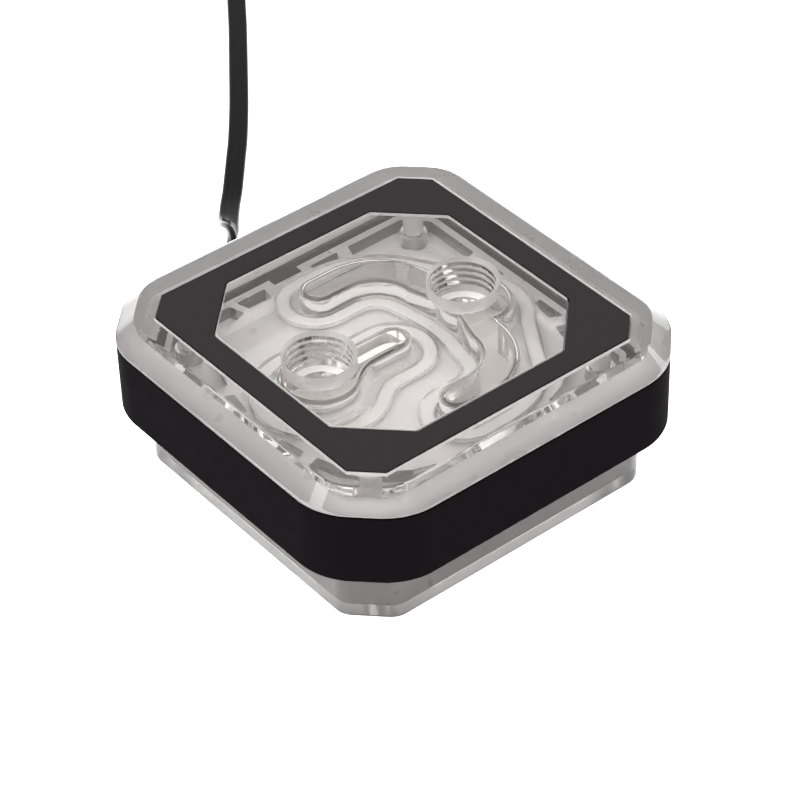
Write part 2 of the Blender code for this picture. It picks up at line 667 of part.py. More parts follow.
def make_lights(strip_made, led_made):
    """The strip stands in the slot, and its lights face inwards along the back, the right and the front."""
    outer = octagon(inset(COLUMN, SLOT_WALL + STRIP_GAP))
    inner = octagon(inset(COLUMN, SLOT_WALL + STRIP_GAP + STRIP_T))
    low = BASE_TOP - SLOT_DEPTH + (SLOT_DEPTH - STRIP_H) / 2
    finish(solid("led_strip", prism(outer + inner[::-1], low, low + STRIP_H)), strip_made)
    face = COLUMN_HALF - SLOT_WALL - 2 * STRIP_GAP - STRIP_T
    middle = low + STRIP_H / 2
    spots = []
    for angle in (0, -math.pi / 2, math.pi):
        for index in range(LEDS_A_SIDE):
            place = Vector((LED_PITCH * (index - (LEDS_A_SIDE - 1) / 2), face - LED_T / 2))
            place.rotate(rotation_2d(angle))
            spots.append(((*place, middle), (0, 0, angle)))
    led = solid("led", prism(rectangle(LED_W / 2, LED_T / 2, 0.1 * MM, 1), -LED_W / 2, LED_W / 2))
    copies(led, spots, led_made)


def make_grommet(made):
    """The rubber bush of the lead in the lower block's rear wall."""
    inner_end = COLUMN_HALF - SLOT_WALL + SEAT / 2
    flange = COLUMN_HALF + SEAT
    bush, collar, nose = circle(GROMMET_R, 20), circle(GROMMET_FLANGE_R, 20), circle(GROMMET_R + SEAT, 20)
    grommet = solid("cable_grommet", [(bush, inner_end - flange), (bush, 0), (collar, 0),
                                      (collar, GROMMET_OUT / 2), (nose, GROMMET_OUT)])
    grommet.location = (0, flange, EXIT_Z)
    grommet.rotation_euler = (-math.pi / 2, 0, 0)
    return finish(grommet, made)


def coil_end():
    """Angle at which the coil's inner turn ends, and its radius there."""
    return COIL_START - 2 * math.pi * COIL_TURNS, COIL_R - COIL_PITCH * COIL_TURNS


def tail_point(turn):
    """A point of the short tail that curls from the inner turn into the plug, and its heading."""
    angle, radius = coil_end()
    out = Vector((math.cos(angle), math.sin(angle)))
    along = Vector((out.y, -out.x))
    place = COIL_CENTRE + out * (radius - TAIL_R) + (out * math.cos(turn) + along * math.sin(turn)) * TAIL_R
    return place, along * math.cos(turn) - out * math.sin(turn)


def make_lead(made):
    """The lead's three stretches: to the coil, the coil, and the tail inside it."""
    start = Vector((0, COLUMN_HALF + 2 * SEAT + GROMMET_OUT, EXIT_Z))
    route = [start] + [Vector(point) * MM + Vector((0, COLUMN_HALF, 0)) for point in LEAD_ROUTE]
    course = smooth_course(route, 2)
    for point in course:
        point.z = max(point.z, LEAD_R)
    finish(tube("lead_cable", course, LEAD_R), made)
    inner = coil_end()[1] - LEAD_T / 2
    outer = COIL_R + LEAD_T / 2
    height = 2 * LEAD_R
    edge = 0.5 * MM
    bore, rim, soft_rim = [circle(radius, 40, tuple(COIL_CENTRE)) for radius in (inner, outer, outer - edge)]
    coil = solid("lead_coil", [
        (soft_rim, 0), (rim, edge), (rim, height - edge), (soft_rim, height), (bore, height), (bore, 0),
    ], closed=True)
    way, _ = tie_spot()
    notch = cut(coil, "tie_way", prism(rectangle(outer, TIE_W / 2 + SEAT), -PAST, TIE_T + SEAT))
    notch.location = (way.x, way.y, 0)
    notch.rotation_euler = (0, 0, TIE_AT)
    finish(coil, made)
    bends = 6
    path = [tail_point(TAIL_FROM + (TAIL_TO - TAIL_FROM) * step / bends)[0] for step in range(bends + 1)]
    finish(tube("lead_tail", lifted(path, LEAD_R), LEAD_R), made)


def tie_spot():
    """Middle of the coil's turns at the tie, and the direction away from the coil's centre there."""
    out = Vector((math.cos(TIE_AT), math.sin(TIE_AT)))
    return COIL_CENTRE + out * (COIL_R + coil_end()[1]) / 2, out


def make_tie(made):
    """The tie round the coil's turns, with its head on the outer side."""
    place, _ = tie_spot()
    half_x = (COIL_R - coil_end()[1] + LEAD_T) / 2 + SEAT
    height = 2 * LEAD_R + TIE_ROOM
    centre = (0, TIE_T + height / 2)
    inner = rectangle(half_x, height / 2, 0.8 * MM, 4, centre)
    outer = rectangle(half_x + TIE_T, height / 2 + TIE_T, 1.6 * MM, 4, centre)
    half_w = TIE_W / 2
    sections = [(outer, -half_w), (outer, half_w), (inner, half_w), (inner, -half_w)]
    tie = solid("cable_tie", sections, closed=True)
    head_centre = (half_x + TIE_T / 2 + TIE_HEAD.z / 2, TIE_HEAD.x / 2)
    head = rectangle(TIE_HEAD.z / 2, TIE_HEAD.x / 2, 0.5 * MM, 2, head_centre)
    lock = cut(tie, "tie_lock", prism(head, -TIE_HEAD.y / 2, TIE_HEAD.y / 2))
    tie.modifiers["tie_lock"].operation = "UNION"
    for thing in (tie, lock):
        thing.location = (place.x, place.y, 0)
        thing.rotation_euler = (math.pi / 2, 0, TIE_AT)
    finish(tie, made)


def make_connector(shell_made, contact_made):
    """The flat three-pin plug inside the coil, lying on the surface."""
    place, heading = tail_point(TAIL_TO)
    turn = math.atan2(-heading.x, heading.y)
    shell = solid("connector_shell", prism(rectangle(SHELL.x / 2, SHELL.y / 2, 0.4 * MM), 0, SHELL.z))
    middle = place + heading * (SHELL.y / 2 + SEAT)
    seats = [CONTACT_PITCH * (index - 1.5) for index in (0, 1, 3)]
    mouth = SHELL.y / 2
    sockets = [prism(rectangle(SOCKET / 2, SOCKET_DEPTH / 2, centre=(x, mouth - SOCKET_DEPTH / 2 + PAST)),
                     (SHELL.z - SOCKET) / 2, (SHELL.z + SOCKET) / 2) for x in seats]
    cutter = cut(shell, "sockets", *sockets)
    for thing in (shell, cutter):
        thing.location = (middle.x, middle.y, 0)
        thing.rotation_euler = (0, 0, turn)
    finish(shell, shell_made)
    along = mouth + PAST - SOCKET_DEPTH + SEAT + CONTACT_LENGTH / 2
    section = rectangle(CONTACT / 2, CONTACT_LENGTH / 2, 0.1 * MM)
    pin = solid("contact", prism(section, -CONTACT / 2, CONTACT / 2))
    across = Vector((heading.y, -heading.x))
    spots = [((*(middle + across * x + heading * along), SHELL.z / 2), (0, 0, turn)) for x in seats]
    copies(pin, spots, contact_made)


def main():
    for thing in list(bpy.data.objects):
        bpy.data.objects.remove(thing)
    acrylic = material("clear_acrylic", (0.93, 0.93, 0.92), 0.05, transmission=1.0)
    black = material("black_anodised", (0.02, 0.018, 0.02), 0.45)
    satin = material("black_trim", (0.035, 0.03, 0.03), 0.35)
    nickel = material("nickel", (0.72, 0.69, 0.64), 0.2, metallic=1.0)
    steel = material("stainless_steel", (0.6, 0.6, 0.6), 0.25, metallic=1.0)
    silicone = material("silicone", (0.85, 0.85, 0.86), 0.5)
    rubber = material("black_rubber", (0.02, 0.02, 0.02), 0.7)
    strip = material("strip_film", (0.03, 0.028, 0.026), 0.5)
    lens = material("led_white", (0.85, 0.83, 0.7), 0.4)
    jacket = material("lead_jacket", (0.015, 0.015, 0.016), 0.4)
    brass = material("contact_brass", (0.8, 0.6, 0.25), 0.3, metallic=1.0)
    make_clear_top(acrylic)
    make_base(acrylic)
    make_trim(satin)
    make_ring(black)
    make_channel_seals(silicone)
    make_cold_plate(nickel)
    make_jet_plate(steel)
    make_plate_seal(silicone)
    make_screws(steel)
    make_lights(strip, lens)
    make_grommet(rubber)
    make_lead(jacket)
    make_tie(rubber)
    make_connector(black, brass)


main()
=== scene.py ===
"""Studio scene of a clear CPU water block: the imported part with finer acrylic, threads, seals and lead."""

import math
from collections import namedtuple

import bmesh
import bpy
from mathutils import Matrix, Vector


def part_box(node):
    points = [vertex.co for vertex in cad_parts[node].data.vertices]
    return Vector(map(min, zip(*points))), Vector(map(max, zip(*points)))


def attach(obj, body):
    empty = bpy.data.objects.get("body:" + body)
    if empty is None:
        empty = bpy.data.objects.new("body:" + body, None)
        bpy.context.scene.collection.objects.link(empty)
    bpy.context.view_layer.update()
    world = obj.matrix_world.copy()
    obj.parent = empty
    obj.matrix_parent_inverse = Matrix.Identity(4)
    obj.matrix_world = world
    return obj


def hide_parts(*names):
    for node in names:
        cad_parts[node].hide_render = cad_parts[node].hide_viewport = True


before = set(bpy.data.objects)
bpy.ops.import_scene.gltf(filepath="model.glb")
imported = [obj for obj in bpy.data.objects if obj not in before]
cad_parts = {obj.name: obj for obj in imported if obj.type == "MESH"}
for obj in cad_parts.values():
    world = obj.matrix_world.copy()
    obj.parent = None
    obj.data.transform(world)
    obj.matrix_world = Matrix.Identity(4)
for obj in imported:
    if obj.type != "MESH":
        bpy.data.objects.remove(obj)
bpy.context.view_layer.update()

MM = 0.001
SEAT = 0.3 * MM                    # gap that pieces keep where they seat on each other
PAST = 1.0 * MM                    # how far a cutter runs past a face


def low(node):
    """The low corner of a solid's box."""
    return Vector(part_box(node)[0])


def high(node):
    """The high corner of a solid's box."""
    return Vector(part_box(node)[1])


# Levels and widths read from the frame
TOP_Z = high("clear_top").z
TOP_BOTTOM = low("clear_top").z
BASE_TOP = high("base_body").z
FOOT = low("base_body").z
COLUMN_HALF = high("base_body").x
RING_HALF = high("outer_ring").x
RING_TOP = high("outer_ring").z
RING_BOTTOM = low("outer_ring").z
TRIM_HALF = high("trim_frame").x
TRIM_LOW = low("trim_frame").z
PLATE_TOP = 4.7 * MM               # top of the cold plate under its fins
RECESS_Z = PLATE_TOP + SEAT
JET_Z = low("jet_plate").z
JET_TOP = high("jet_plate").z + SEAT
FLANGE_BOTTOM = RING_TOP + SEAT
GROOVE_Z = TRIM_LOW - SEAT

# Eight-sided outlines seen from above: half width, chamfer along a side, fillet of the chamfer's ends
Outline = namedtuple("Outline", "half leg fillet")
COLUMN = Outline(COLUMN_HALF, 6.6 * MM, 4.0 * MM)
RING = Outline(RING_HALF, 10.4 * MM, 12.0 * MM)
FACE = Outline(33.9 * MM, 7.4 * MM, 8.0 * MM)
TRIM = Outline(TRIM_HALF, 4.34 * MM, 0.3 * MM)
WINDOW = Outline(25.5 * MM, 9.9 * MM, 1.2 * MM)
PLATE = Outline(high("cold_plate").x, 11.3 * MM, 1.0 * MM)
FLANGE_LAND = 0.3 * MM             # upright edge under the bevel
BEVEL_EDGE = 0.3 * MM              # broken edges of the flange
FOOT_EDGE = 0.3 * MM               # chamfer round the lower block's foot
LIP_W = 0.9 * MM                   # lip of the ring, trapped between the blocks
LIP_T = 0.8 * MM

# Ports and their thread; the plan of the ways and seals is in hundredths of the column's half width
PLAN = COLUMN_HALF / 100
PORT_X = 47.32 * PLAN
PORT_DEPTH = 6.9 * MM
PORT_MAJOR = 6.35 * MM
PORT_MINOR = 5.6 * MM
PORT_CHAMFER = 0.5 * MM
PORT_PITCH = 1.337 * MM
PORT_GROOVE = 0.55                 # share of the pitch that the V groove takes
PORT_RELIEF = 0.9 * MM             # plain bore between the floor and the thread
PORT_RUN_IN = 0.8                  # how fast the thread reaches its depth above the relief
PORT_SIDES = 120
PORT_STEPS = 110
PORT_HOLE_R = 4.0 * MM

# Channels
CHANNEL_DEPTH = 7.7 * MM
CHANNEL_FILLET = 1.3 * MM
INLET_R = 22.05 * PLAN             # chamber under the inlet port
INLET_HALF = 9.65 * PLAN           # half width of the channel from it to the centre
NECK_EDGE = math.radians(50)       # where the neck leaves the chamber
NECK_LEAN = 1.4                    # the neck's length over how much it narrows
NECK_EXTRA = 1.5 * MM
OUTLET_X = 53.9 * PLAN             # chamber under the outlet port
OUTLET_RX = 19.6 * PLAN
OUTLET_RY = 23.89 * PLAN
BEND_X = 9.19 * PLAN               # centre of the two curved return channels
BEND_Y = 25.73 * PLAN
BEND_IN = 21.13 * PLAN
BEND_OUT = 41.65 * PLAN
RETURN_X = -3.68 * PLAN            # centre of their closed round ends

# Seals
SEAL_HALF = 1.25 * MM              # half width of the two flat channel seals
SEAL_T = 1.5 * MM
SEAL_SIDE = 0.15 * MM              # room beside a seal in its groove
INLET_SEAL_R = 32.92 * PLAN
INLET_SEAL_HALF = 19.14 * PLAN
OUTLET_SEAL_OUT = 9.8 * PLAN       # from the channel's outer wall to the seal
OUTLET_SEAL_IN = 5.21 * PLAN       # from its inner wall to the seal
OUTLET_SEAL_PORT = 33.69 * PLAN    # seal's radius round the outlet port
OUTLET_SEAL_BOW = 3.52 * PLAN      # how far the seal bows towards the outlet port
OUTLET_SEAL_BOW_STEPS = 17
PLATE_SEAL_R = 0.9 * MM
PLATE_SEAL_SIDE = 0.2 * MM
PLATE_SEAL_X = 16.4 * MM
PLATE_SEAL_Y = 21.3 * MM
PLATE_SEAL_CORNER = 6.0 * MM

# Lower block: light slot with its strip, and pockets, whose corners lie along a wall and out from the middle
SLOT_WALL = 0.75 * MM              # clear wall outside the light slot
SLOT_W = 1.8 * MM
SLOT_DEPTH = 10.2 * MM
STRIP_GAP = 0.25 * MM              # between the slot's outer wall and the strip
STRIP_T = 0.3 * MM
LIGHTS = 12
LIGHT_SHIFT = 0.5 * MM             # the lights move outwards with the slot
NOTCH_HALF = 3.0 * MM
NOTCH_W = 1.7 * MM
NOTCH_SHIFT = 0.4 * MM
POCKET_FAR = 28.7 * MM
POCKET_LEG = 3.9 * MM
POCKET_DEPTH = 2.4 * MM
POCKET_FILLET = 0.3 * MM
WIDE_POCKET = (
    (-5.4 * MM, POCKET_FAR), (-11.5 * MM, POCKET_FAR), (-10.6 * MM, 25.9 * MM), (-5.8 * MM, 25.9 * MM),
)
SLIM_POCKET = (
    (4.6 * MM, POCKET_FAR), (4.6 * MM, 27.2 * MM), (9.4 * MM, 26.4 * MM), (10.7 * MM, POCKET_FAR),
)
CORNER_POCKET_END = 13.0 * MM
CORNER_POCKET_NEAR = ((25.7 * MM, 12.0 * MM), (24.4 * MM, 15.9 * MM), (20.8 * MM, 20.8 * MM))
PILLAR_R = 2.5 * MM

# Lower block: ways for the water, from the jet slot down to the cold plate and back up the return slots
JET_HOLE = (2.6 * MM, 1.5 * MM)
JET_HOLE_CORNER = 1.2 * MM
JET_POCKET = (13.2 * MM, 13.8 * MM)
MANIFOLD = (12.0 * MM, 2.0 * MM)
MANIFOLD_CORNER = 1.5 * MM
MANIFOLD_DEPTH = 2.0 * MM
RETURN_Y = 17.0 * MM
RETURN_HALF = 2.0 * MM
RETURN_LENGTH = 6.5 * MM
CAVITY = (13.5 * MM, 19.3 * MM)
CAVITY_CORNER = 2.5 * MM

# Screws
CORNER_SCREW = 24.5 * MM           # place of the four long screws on both axes
CORNER_R = 1.5 * MM
CORNER_PITCH = 0.6 * MM
CORNER_HEAD_R = 3.5 * MM
CORNER_HEAD_H = 2.6 * MM
CORNER_SEAT = TOP_Z - 4.5 * MM
PLATE_SCREW_R = 1.2 * MM
PLATE_PITCH = 0.45 * MM
PLATE_HEAD_H = 1.3 * MM
PLATE_SCREW_FAR = 24.7 * MM
PLATE_SCREW_SIDE = 13.0 * MM
THREAD_DEPTH = 0.61                # of a screw's thread, as a share of its pitch
SCREW_SIDES = 36
SCREW_EDGE = 0.3 * MM
SOCKET_FLAT = 0.43                 # half width over the flats, as a share of the head's radius
SOCKET_DEPTH = 0.55                # as a share of the head's height
SOCKET_EDGE = 0.15 * MM

# Lead: the same course as the solids follow, in millimetres from the rear wall's foot
LEAD_ROUTE = (
    (0.0, 3.35, 9.1), (0.0, 10.35, 9.1), (1.6, 16.55, 8.8), (5.4, 22.75, 8.0), (10.2, 28.15, 6.7),
    (13.8, 33.55, 4.8), (16.6, 37.75, 3.4), (20.7, 42.95, 2.3), (24.7, 47.45, 2.0), (31.9, 55.95, 2.0),
    (35.6, 60.35, 2.0), (42.7, 69.45, 2.0), (51.3, 81.05, 2.0), (60.2, 93.15, 2.0), (67.0, 102.65, 2.0),
    (74.5, 111.95, 2.0),
)
REAR_WALL = Vector((0, COLUMN_HALF, 0))
LEAD_EXIT = Vector((0, high("cable_grommet").y + SEAT, 9.1 * MM))
LEAD_W = 4.0 * MM
LEAD_WAY_R = 2.5 * MM              # hole in the rear wall
CORE_R = LEAD_W / 6
CORE_PITCH = 1.96 * CORE_R         # the cores run into each other a little
TWIST_AT = Vector((11.3 * MM, COLUMN_HALF + 29.8 * MM))
TWIST_LENGTH = 26 * MM
RISE_FROM = 26 * MM                # the flat lead turns on edge over this stretch before the coil
RISE_LENGTH = 24 * MM
COIL_TURNS = 2.5
COIL_PITCH = 1.8 * MM
COIL_R = 22.2 * MM
COIL_CENTRE = Vector((99.4 * MM, COLUMN_HALF + 107.65 * MM))
COIL_START = math.radians(141.9)
TAIL_R = 8.5 * MM
TAIL_TURN = math.radians(150)
TIE_AT = math.radians(48)
TIE_LIFT = 1.1 * MM                # the turns hump up by this much where they pass over the tie
TIE_REACH = 0.3                    # radians of the coil on each side of the tie

# Camera, fitted to the photograph's edges; its picture is 800 by 800
CAMERA_AT = Vector((-0.244766, -0.312991, 0.341816))
CAMERA_RIGHT = Vector((0.77409256, -0.63264673, -0.02321262))
CAMERA_UP = Vector((0.41833609, 0.48365816, 0.76881057))
CAMERA_LENS = 136.6

# Studio: plain soft light from all round, a little brighter towards SKY_SIDE, with two large lamps
FLOOR_HALF = 2.5
FLOOR_CORNER = 0.1
FLOOR_T = 0.02
FLOOR_GREY = 0.93
FLOOR_GLOW = 0.9
SKY_SIDE = (-0.7, -0.5, 0.5)
SKY_FAR = (0.95, 0.93, 0.92)
SKY_NEAR = (1.1, 1.08, 1.07)
SKY_STRENGTH = 1.5
LAMPS = (("key", (-0.5, 0.3, 0.9), 0.7, 7), ("fill", (0.9, -0.1, 0.5), 0.5, 3))    # place, size, watts
BOUNCES = 24                       # the light passes many clear walls
GLOSSY_BOUNCES = 12

# How far from its place a face may lie for the rules that choose finishes
LEVEL_ROOM = 0.02 * MM
COLUMN_ROOM = 1.6 * MM             # takes in the wall behind the ring's lip
PILLAR_ROOM = 0.05 * MM
POCKET_ROOM = 0.3 * MM
GROOVE_ROOM = 0.5 * MM

ACRYLIC_IOR = 1.49
SILICONE_IOR = 1.41
NOISE_LOW, NOISE_HIGH = 0.3, 0.7   # where most of a noise texture's values lie


# Helpers for shapes

def placed(name, data):
    """A new object in the scene."""
    thing = bpy.data.objects.new(name, data)
    bpy.context.scene.collection.objects.link(thing)
    return thing


def inset(outline, distance):
    """The outline moved inwards by a distance, or outwards by a negative one."""
    leg = outline.leg - distance * (2 - math.sqrt(2))
    return Outline(outline.half - distance, leg, max(outline.fillet - distance, 0.2 * MM))


def between(first, second, share):
    """The outline at a share of the way from one to another."""
    return Outline(*(a + (b - a) * share for a, b in zip(first, second)))


def filleted(corners, radius, steps):
    """A closed outline with each corner rounded."""
    points = []
    for index, corner in enumerate(corners):
        here = Vector(corner)
        before = (Vector(corners[index - 1]) - here).normalized()
        after = (Vector(corners[(index + 1) % len(corners)]) - here).normalized()
        half_angle = before.angle(after) / 2
        middle = here + (before + after).normalized() * radius / math.sin(half_angle)
        start = here + before * radius / math.tan(half_angle) - middle
        turn = start.angle_signed(here + after * radius / math.tan(half_angle) - middle)
        for step in range(steps + 1):
            points.append(middle + Matrix.Rotation(-turn * step / steps, 2) @ start)
    return points


def octagon(outline, steps=12):
    """The points of an eight-sided outline."""
    half, leg = outline.half, outline.leg
    cut = half - leg
    corners = ((-half, cut), (-cut, half), (cut, half), (half, cut),
               (half, -cut), (cut, -half), (-cut, -half), (-half, -cut))
    return filleted(corners, outline.fillet, steps)


def rectangle(half_x, half_y, radius=0.2 * MM, steps=3, centre=(0, 0)):
    """The points of a rectangle with round corners."""
    x, y = centre
    corners = ((x - half_x, y + half_y), (x + half_x, y + half_y),
               (x + half_x, y - half_y), (x - half_x, y - half_y))
    return filleted(corners, radius, steps)


def arc(centre_x, centre_y, radius_x, start, end, steps, radius_y=None):
    """Points along an arc between two angles in degrees, of a circle or an ellipse."""
    radius_y = radius_y or radius_x
    angles = [math.radians(start + (end - start) * step / steps) for step in range(steps + 1)]
    return [Vector((centre_x + radius_x * math.cos(a), centre_y + radius_y * math.sin(a))) for a in angles]


def circle(radius, segments=48, centre=(0, 0)):
    """The points of a full circle."""
    return arc(centre[0], centre[1], radius, 0, 360 * (segments - 1) / segments, segments - 1)


def turns_left(outline):
    """Whether a closed outline runs anticlockwise."""
    return sum(a.x * b.y - a.y * b.x for a, b in zip(outline, outline[1:] + outline[:1])) > 0


def mirrored_y(points):
    """The points mirrored to the other side of the X axis."""
    return [Vector((point.x, -point.y)) for point in points]


def offset(outline, distance):
    """A closed outline moved inwards."""
    side = distance if turns_left(outline) else -distance
    moved = []
    for index, point in enumerate(outline):
        along = outline[(index + 1) % len(outline)] - outline[index - 1]
        moved.append(point + Vector((-along.y, along.x)).normalized() * side)
    return moved


def rounded_top(outline, base, top, radius, steps=8):
    """Sections of a solid whose upper edge is rounded."""
    sections = [(outline, base)]
    for step in range(steps + 1):
        turn = math.pi / 2 * step / steps
        sections.append((offset(outline, radius * (1 - math.cos(turn))), top - radius * (1 - math.sin(turn))))
    return sections


def join_rings(bm, rings, closed):
    """Walls between rings of vertices, with a cap on each end, or with a wall between the ends."""
    pairs = list(zip(rings, rings[1:]))
    if closed:
        pairs.append((rings[-1], rings[0]))
    else:
        bm.faces.new(rings[0])
        bm.faces.new(rings[-1])
    for lower, upper in pairs:
        for index in range(len(lower)):
            bm.faces.new((lower[index - 1], lower[index], upper[index], upper[index - 1]))


def placed_mesh(bm, name):
    """The object made of a bmesh, its faces turned outwards."""
    bmesh.ops.recalc_face_normals(bm, faces=bm.faces)
    mesh = bpy.data.meshes.new(name)
    bm.to_mesh(mesh)
    bm.free()
    return placed(name, mesh)


def solid(name, *parts, closed=False):
    """An object of one or more bodies, each given by its outlines and their heights."""
    bm = bmesh.new()
    for sections in parts:
        rings = [[bm.verts.new((point.x, point.y, height)) for point in outline]
                 for outline, height in sections]
        join_rings(bm, rings, closed)
    return placed_mesh(bm, name)


def prism(outline, bottom, top):
    """Sections of an upright prism."""
    return [(outline, bottom), (outline, top)]


def carve(target, *cutters):
    """Cuts each solid out of the target and applies the result."""
    for cutter in cutters:
        modifier = target.modifiers.new(cutter.name, "BOOLEAN")
        modifier.operation = "DIFFERENCE"
        modifier.material_mode = "TRANSFER"
        modifier.object = cutter
    graph = bpy.context.evaluated_depsgraph_get()
    mesh = bpy.data.meshes.new_from_object(target.evaluated_get(graph))
    target.modifiers.clear()
    target.data = mesh
    for cutter in cutters:
        bpy.data.objects.remove(cutter)
    return target


def smooth(thing, angle=30):
    """Smooth shading with sharp edges from an angle on, and normals that follow the large faces."""
    thing.data.shade_smooth()
    thing.data.set_sharp_from_angle(angle=math.radians(angle))
    weighted = thing.modifiers.new("normals", "WEIGHTED_NORMAL")
    weighted.keep_sharp = True
    return thing


def dress(thing, made, slot, *nodes):
    """Gives a piece its material, puts it on the part and lets it stand for solids."""
    if made is not None:
        thing.data.materials.clear()
        thing.data.materials.append(made)
    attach(thing, "root")
    if nodes:
        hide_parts(*nodes)
    return thing


# Materials

def shader_of(name, inputs):
    """A new material with its nodes, and its shader with these inputs."""
    made = bpy.data.materials.new(name)
    made.use_nodes = True
    shader = made.node_tree.nodes["Principled BSDF"]
    for socket, value in inputs.items():
        shader.inputs[socket].default_value = value
    return made, made.node_tree, shader


def noise(tree, scale, detail=3.0, stretch=(1, 1, 1)):
    """Noise in the object's own space, per metre."""
    place = tree.nodes.new("ShaderNodeTexCoord")
    mapping = tree.nodes.new("ShaderNodeMapping")
    mapping.inputs["Scale"].default_value = stretch
    texture = tree.nodes.new("ShaderNodeTexNoise")
    texture.inputs["Scale"].default_value = scale
    texture.inputs["Detail"].default_value = detail
    tree.links.new(place.outputs["Object"], mapping.inputs["Vector"])
    tree.links.new(mapping.outputs["Vector"], texture.inputs["Vector"])
    return texture.outputs["Fac"]


def span(tree, value, start, end):
    """The value from 0 to 1 spread between two others."""
    mapped = tree.nodes.new("ShaderNodeMapRange")
    mapped.inputs["From Min"].default_value = NOISE_LOW
    mapped.inputs["From Max"].default_value = NOISE_HIGH
    mapped.inputs["To Min"].default_value = start
    mapped.inputs["To Max"].default_value = end
    tree.links.new(value, mapped.inputs["Value"])
    return mapped.outputs["Result"]


def uneven(tree, shader, value, roughness, less, more):
    """Roughness that a noise moves between two shares of it."""
    tree.links.new(span(tree, value, roughness * less, roughness * more), shader.inputs["Roughness"])


def bump(tree, shader, value, distance):
    """Relief on the surface, of a height in metres."""
    made = tree.nodes.new("ShaderNodeBump")
    made.inputs["Distance"].default_value = distance
    tree.links.new(value, made.inputs["Height"])
    tree.links.new(made.outputs["Normal"], shader.inputs["Normal"])


def acrylic(name, colour, roughness):
    """Clear acrylic, with a slightly uneven gloss."""
    inputs = {"Base Color": (*colour, 1), "Transmission Weight": 1.0, "IOR": ACRYLIC_IOR}
    made, tree, shader = shader_of(name, inputs)
    uneven(tree, shader, noise(tree, 300), roughness, 0.5, 1.5)
    return made


def frosted(name, colour, clear, roughness):
    """Milled acrylic left unpolished: part of the light scatters at the surface."""
    inputs = {"Base Color": (*colour, 1), "Transmission Weight": clear, "IOR": ACRYLIC_IOR}
    made, tree, shader = shader_of(name, inputs)
    uneven(tree, shader, noise(tree, 200, 1), roughness, 0.9, 1.1)
    return made


def painted(name, colour, roughness, grain, specular=0.5):
    """An opaque finish with a fine grain and a slightly uneven gloss."""
    made, tree, shader = shader_of(name, {"Base Color": (*colour, 1), "Specular IOR Level": specular})
    uneven(tree, shader, noise(tree, 400), roughness, 0.93, 1.07)
    bump(tree, shader, noise(tree, 6000, 2), grain)
    return made


def metal(name, colour, roughness, stretch):
    """Metal with the fine lines of its machining."""
    made, tree, shader = shader_of(name, {"Base Color": (*colour, 1), "Metallic": 1.0})
    uneven(tree, shader, noise(tree, 500, 4, stretch), roughness, 0.7, 1.4)
    bump(tree, shader, noise(tree, 2500, 3, stretch), 0.004 * MM)
    return made


def silicone_rubber():
    """Milky silicone that lets little light through."""
    inputs = {"Base Color": (0.965, 0.965, 0.975, 1), "Transmission Weight": 0.15, "IOR": SILICONE_IOR}
    made, tree, shader = shader_of("clear_silicone", inputs)
    uneven(tree, shader, noise(tree, 800), 0.3, 1.0, 1.5)
    bump(tree, shader, noise(tree, 4000, 2), 0.004 * MM)
    return made


Acrylics = namedtuple("Acrylics", "polished milled rim flank mouth tapped matt pale wall dim")


def make_acrylics():
    """The finishes of the two clear blocks, from polished faces to milled, tapped and sawn ones, and grey and
    dark tints that are painted shade.
    """
    return Acrylics(
        polished=acrylic("polished_acrylic", (0.985, 0.985, 0.98), 0.01),
        milled=acrylic("milled_acrylic", (0.94, 0.915, 0.88), 0.04),
        # Dark tint: painted shade along the channels' fillets
        rim=acrylic("fillet_painted_shade_acrylic", (0.15, 0.135, 0.125), 0.05),
        # Grey tint: painted shade for the thin dark lines along the ports' thread
        flank=acrylic("thread_flank_painted_shade", (0.5, 0.47, 0.46), 0.08),
        # Dark grey frost: painted shade that dims the bright ring of the ports' chamfer
        mouth=frosted("port_chamfer_painted_shade", (0.3, 0.29, 0.285), 0.4, 0.35),
        tapped=frosted("tapped_acrylic", (0.95, 0.93, 0.93), 0.7, 0.15),
        # Grey frost: frosted acrylic with painted shade under the flange, in the trim's groove and on the
        # pockets' outer walls
        matt=frosted("frosted_painted_shade_acrylic", (0.4, 0.385, 0.385), 0.55, 0.3),
        pale=frosted("milled_interface", (0.97, 0.94, 0.93), 0.25, 0.3),
        wall=frosted("sawn_acrylic", (0.97, 0.95, 0.94), 0.1, 0.3),
        # Near-black frost: painted shade in the light slot, its notch and along the foot's chamfer
        dim=frosted("slot_painted_shade_acrylic", (0.055, 0.044, 0.036), 0.12, 0.3),
    )


# Camera and light

def make_camera():
    """The camera at the photograph's viewing angle."""
    data = bpy.data.cameras.new("camera")
    data.lens = CAMERA_LENS
    data.sensor_width = 36
    data.clip_start = 0.01
    camera = placed("camera", data)
    back = CAMERA_RIGHT.cross(CAMERA_UP)
    turn = Matrix((CAMERA_RIGHT, CAMERA_UP, back)).transposed()
    camera.matrix_world = Matrix.Translation(CAMERA_AT) @ turn.to_4x4()
    bpy.context.scene.camera = camera


def soft_light(name, place, size, power):
    """A square lamp that faces the part and isn't seen through the acrylic itself."""
    data = bpy.data.lights.new(name, "AREA")
    data.shape = "SQUARE"
    data.size = size
    data.energy = power
    light = placed(name, data)
    light.location = place
    light.rotation_euler = Vector(place).to_track_quat("Z", "Y").to_euler()
    light.visible_transmission = False


def make_floor():
    """The plain pale floor."""
    outline = rectangle(FLOOR_HALF, FLOOR_HALF, FLOOR_CORNER)
    floor = solid("floor", prism(outline, -FLOOR_T, 0))
    made, _, _ = shader_of("studio_floor", {
        "Base Color": (FLOOR_GREY, FLOOR_GREY, FLOOR_GREY, 1), "Roughness": 0.9, "Specular IOR Level": 0.1,
        "Emission Color": (1, 1, 1, 1), "Emission Strength": FLOOR_GLOW,
    })
    floor.data.materials.append(made)


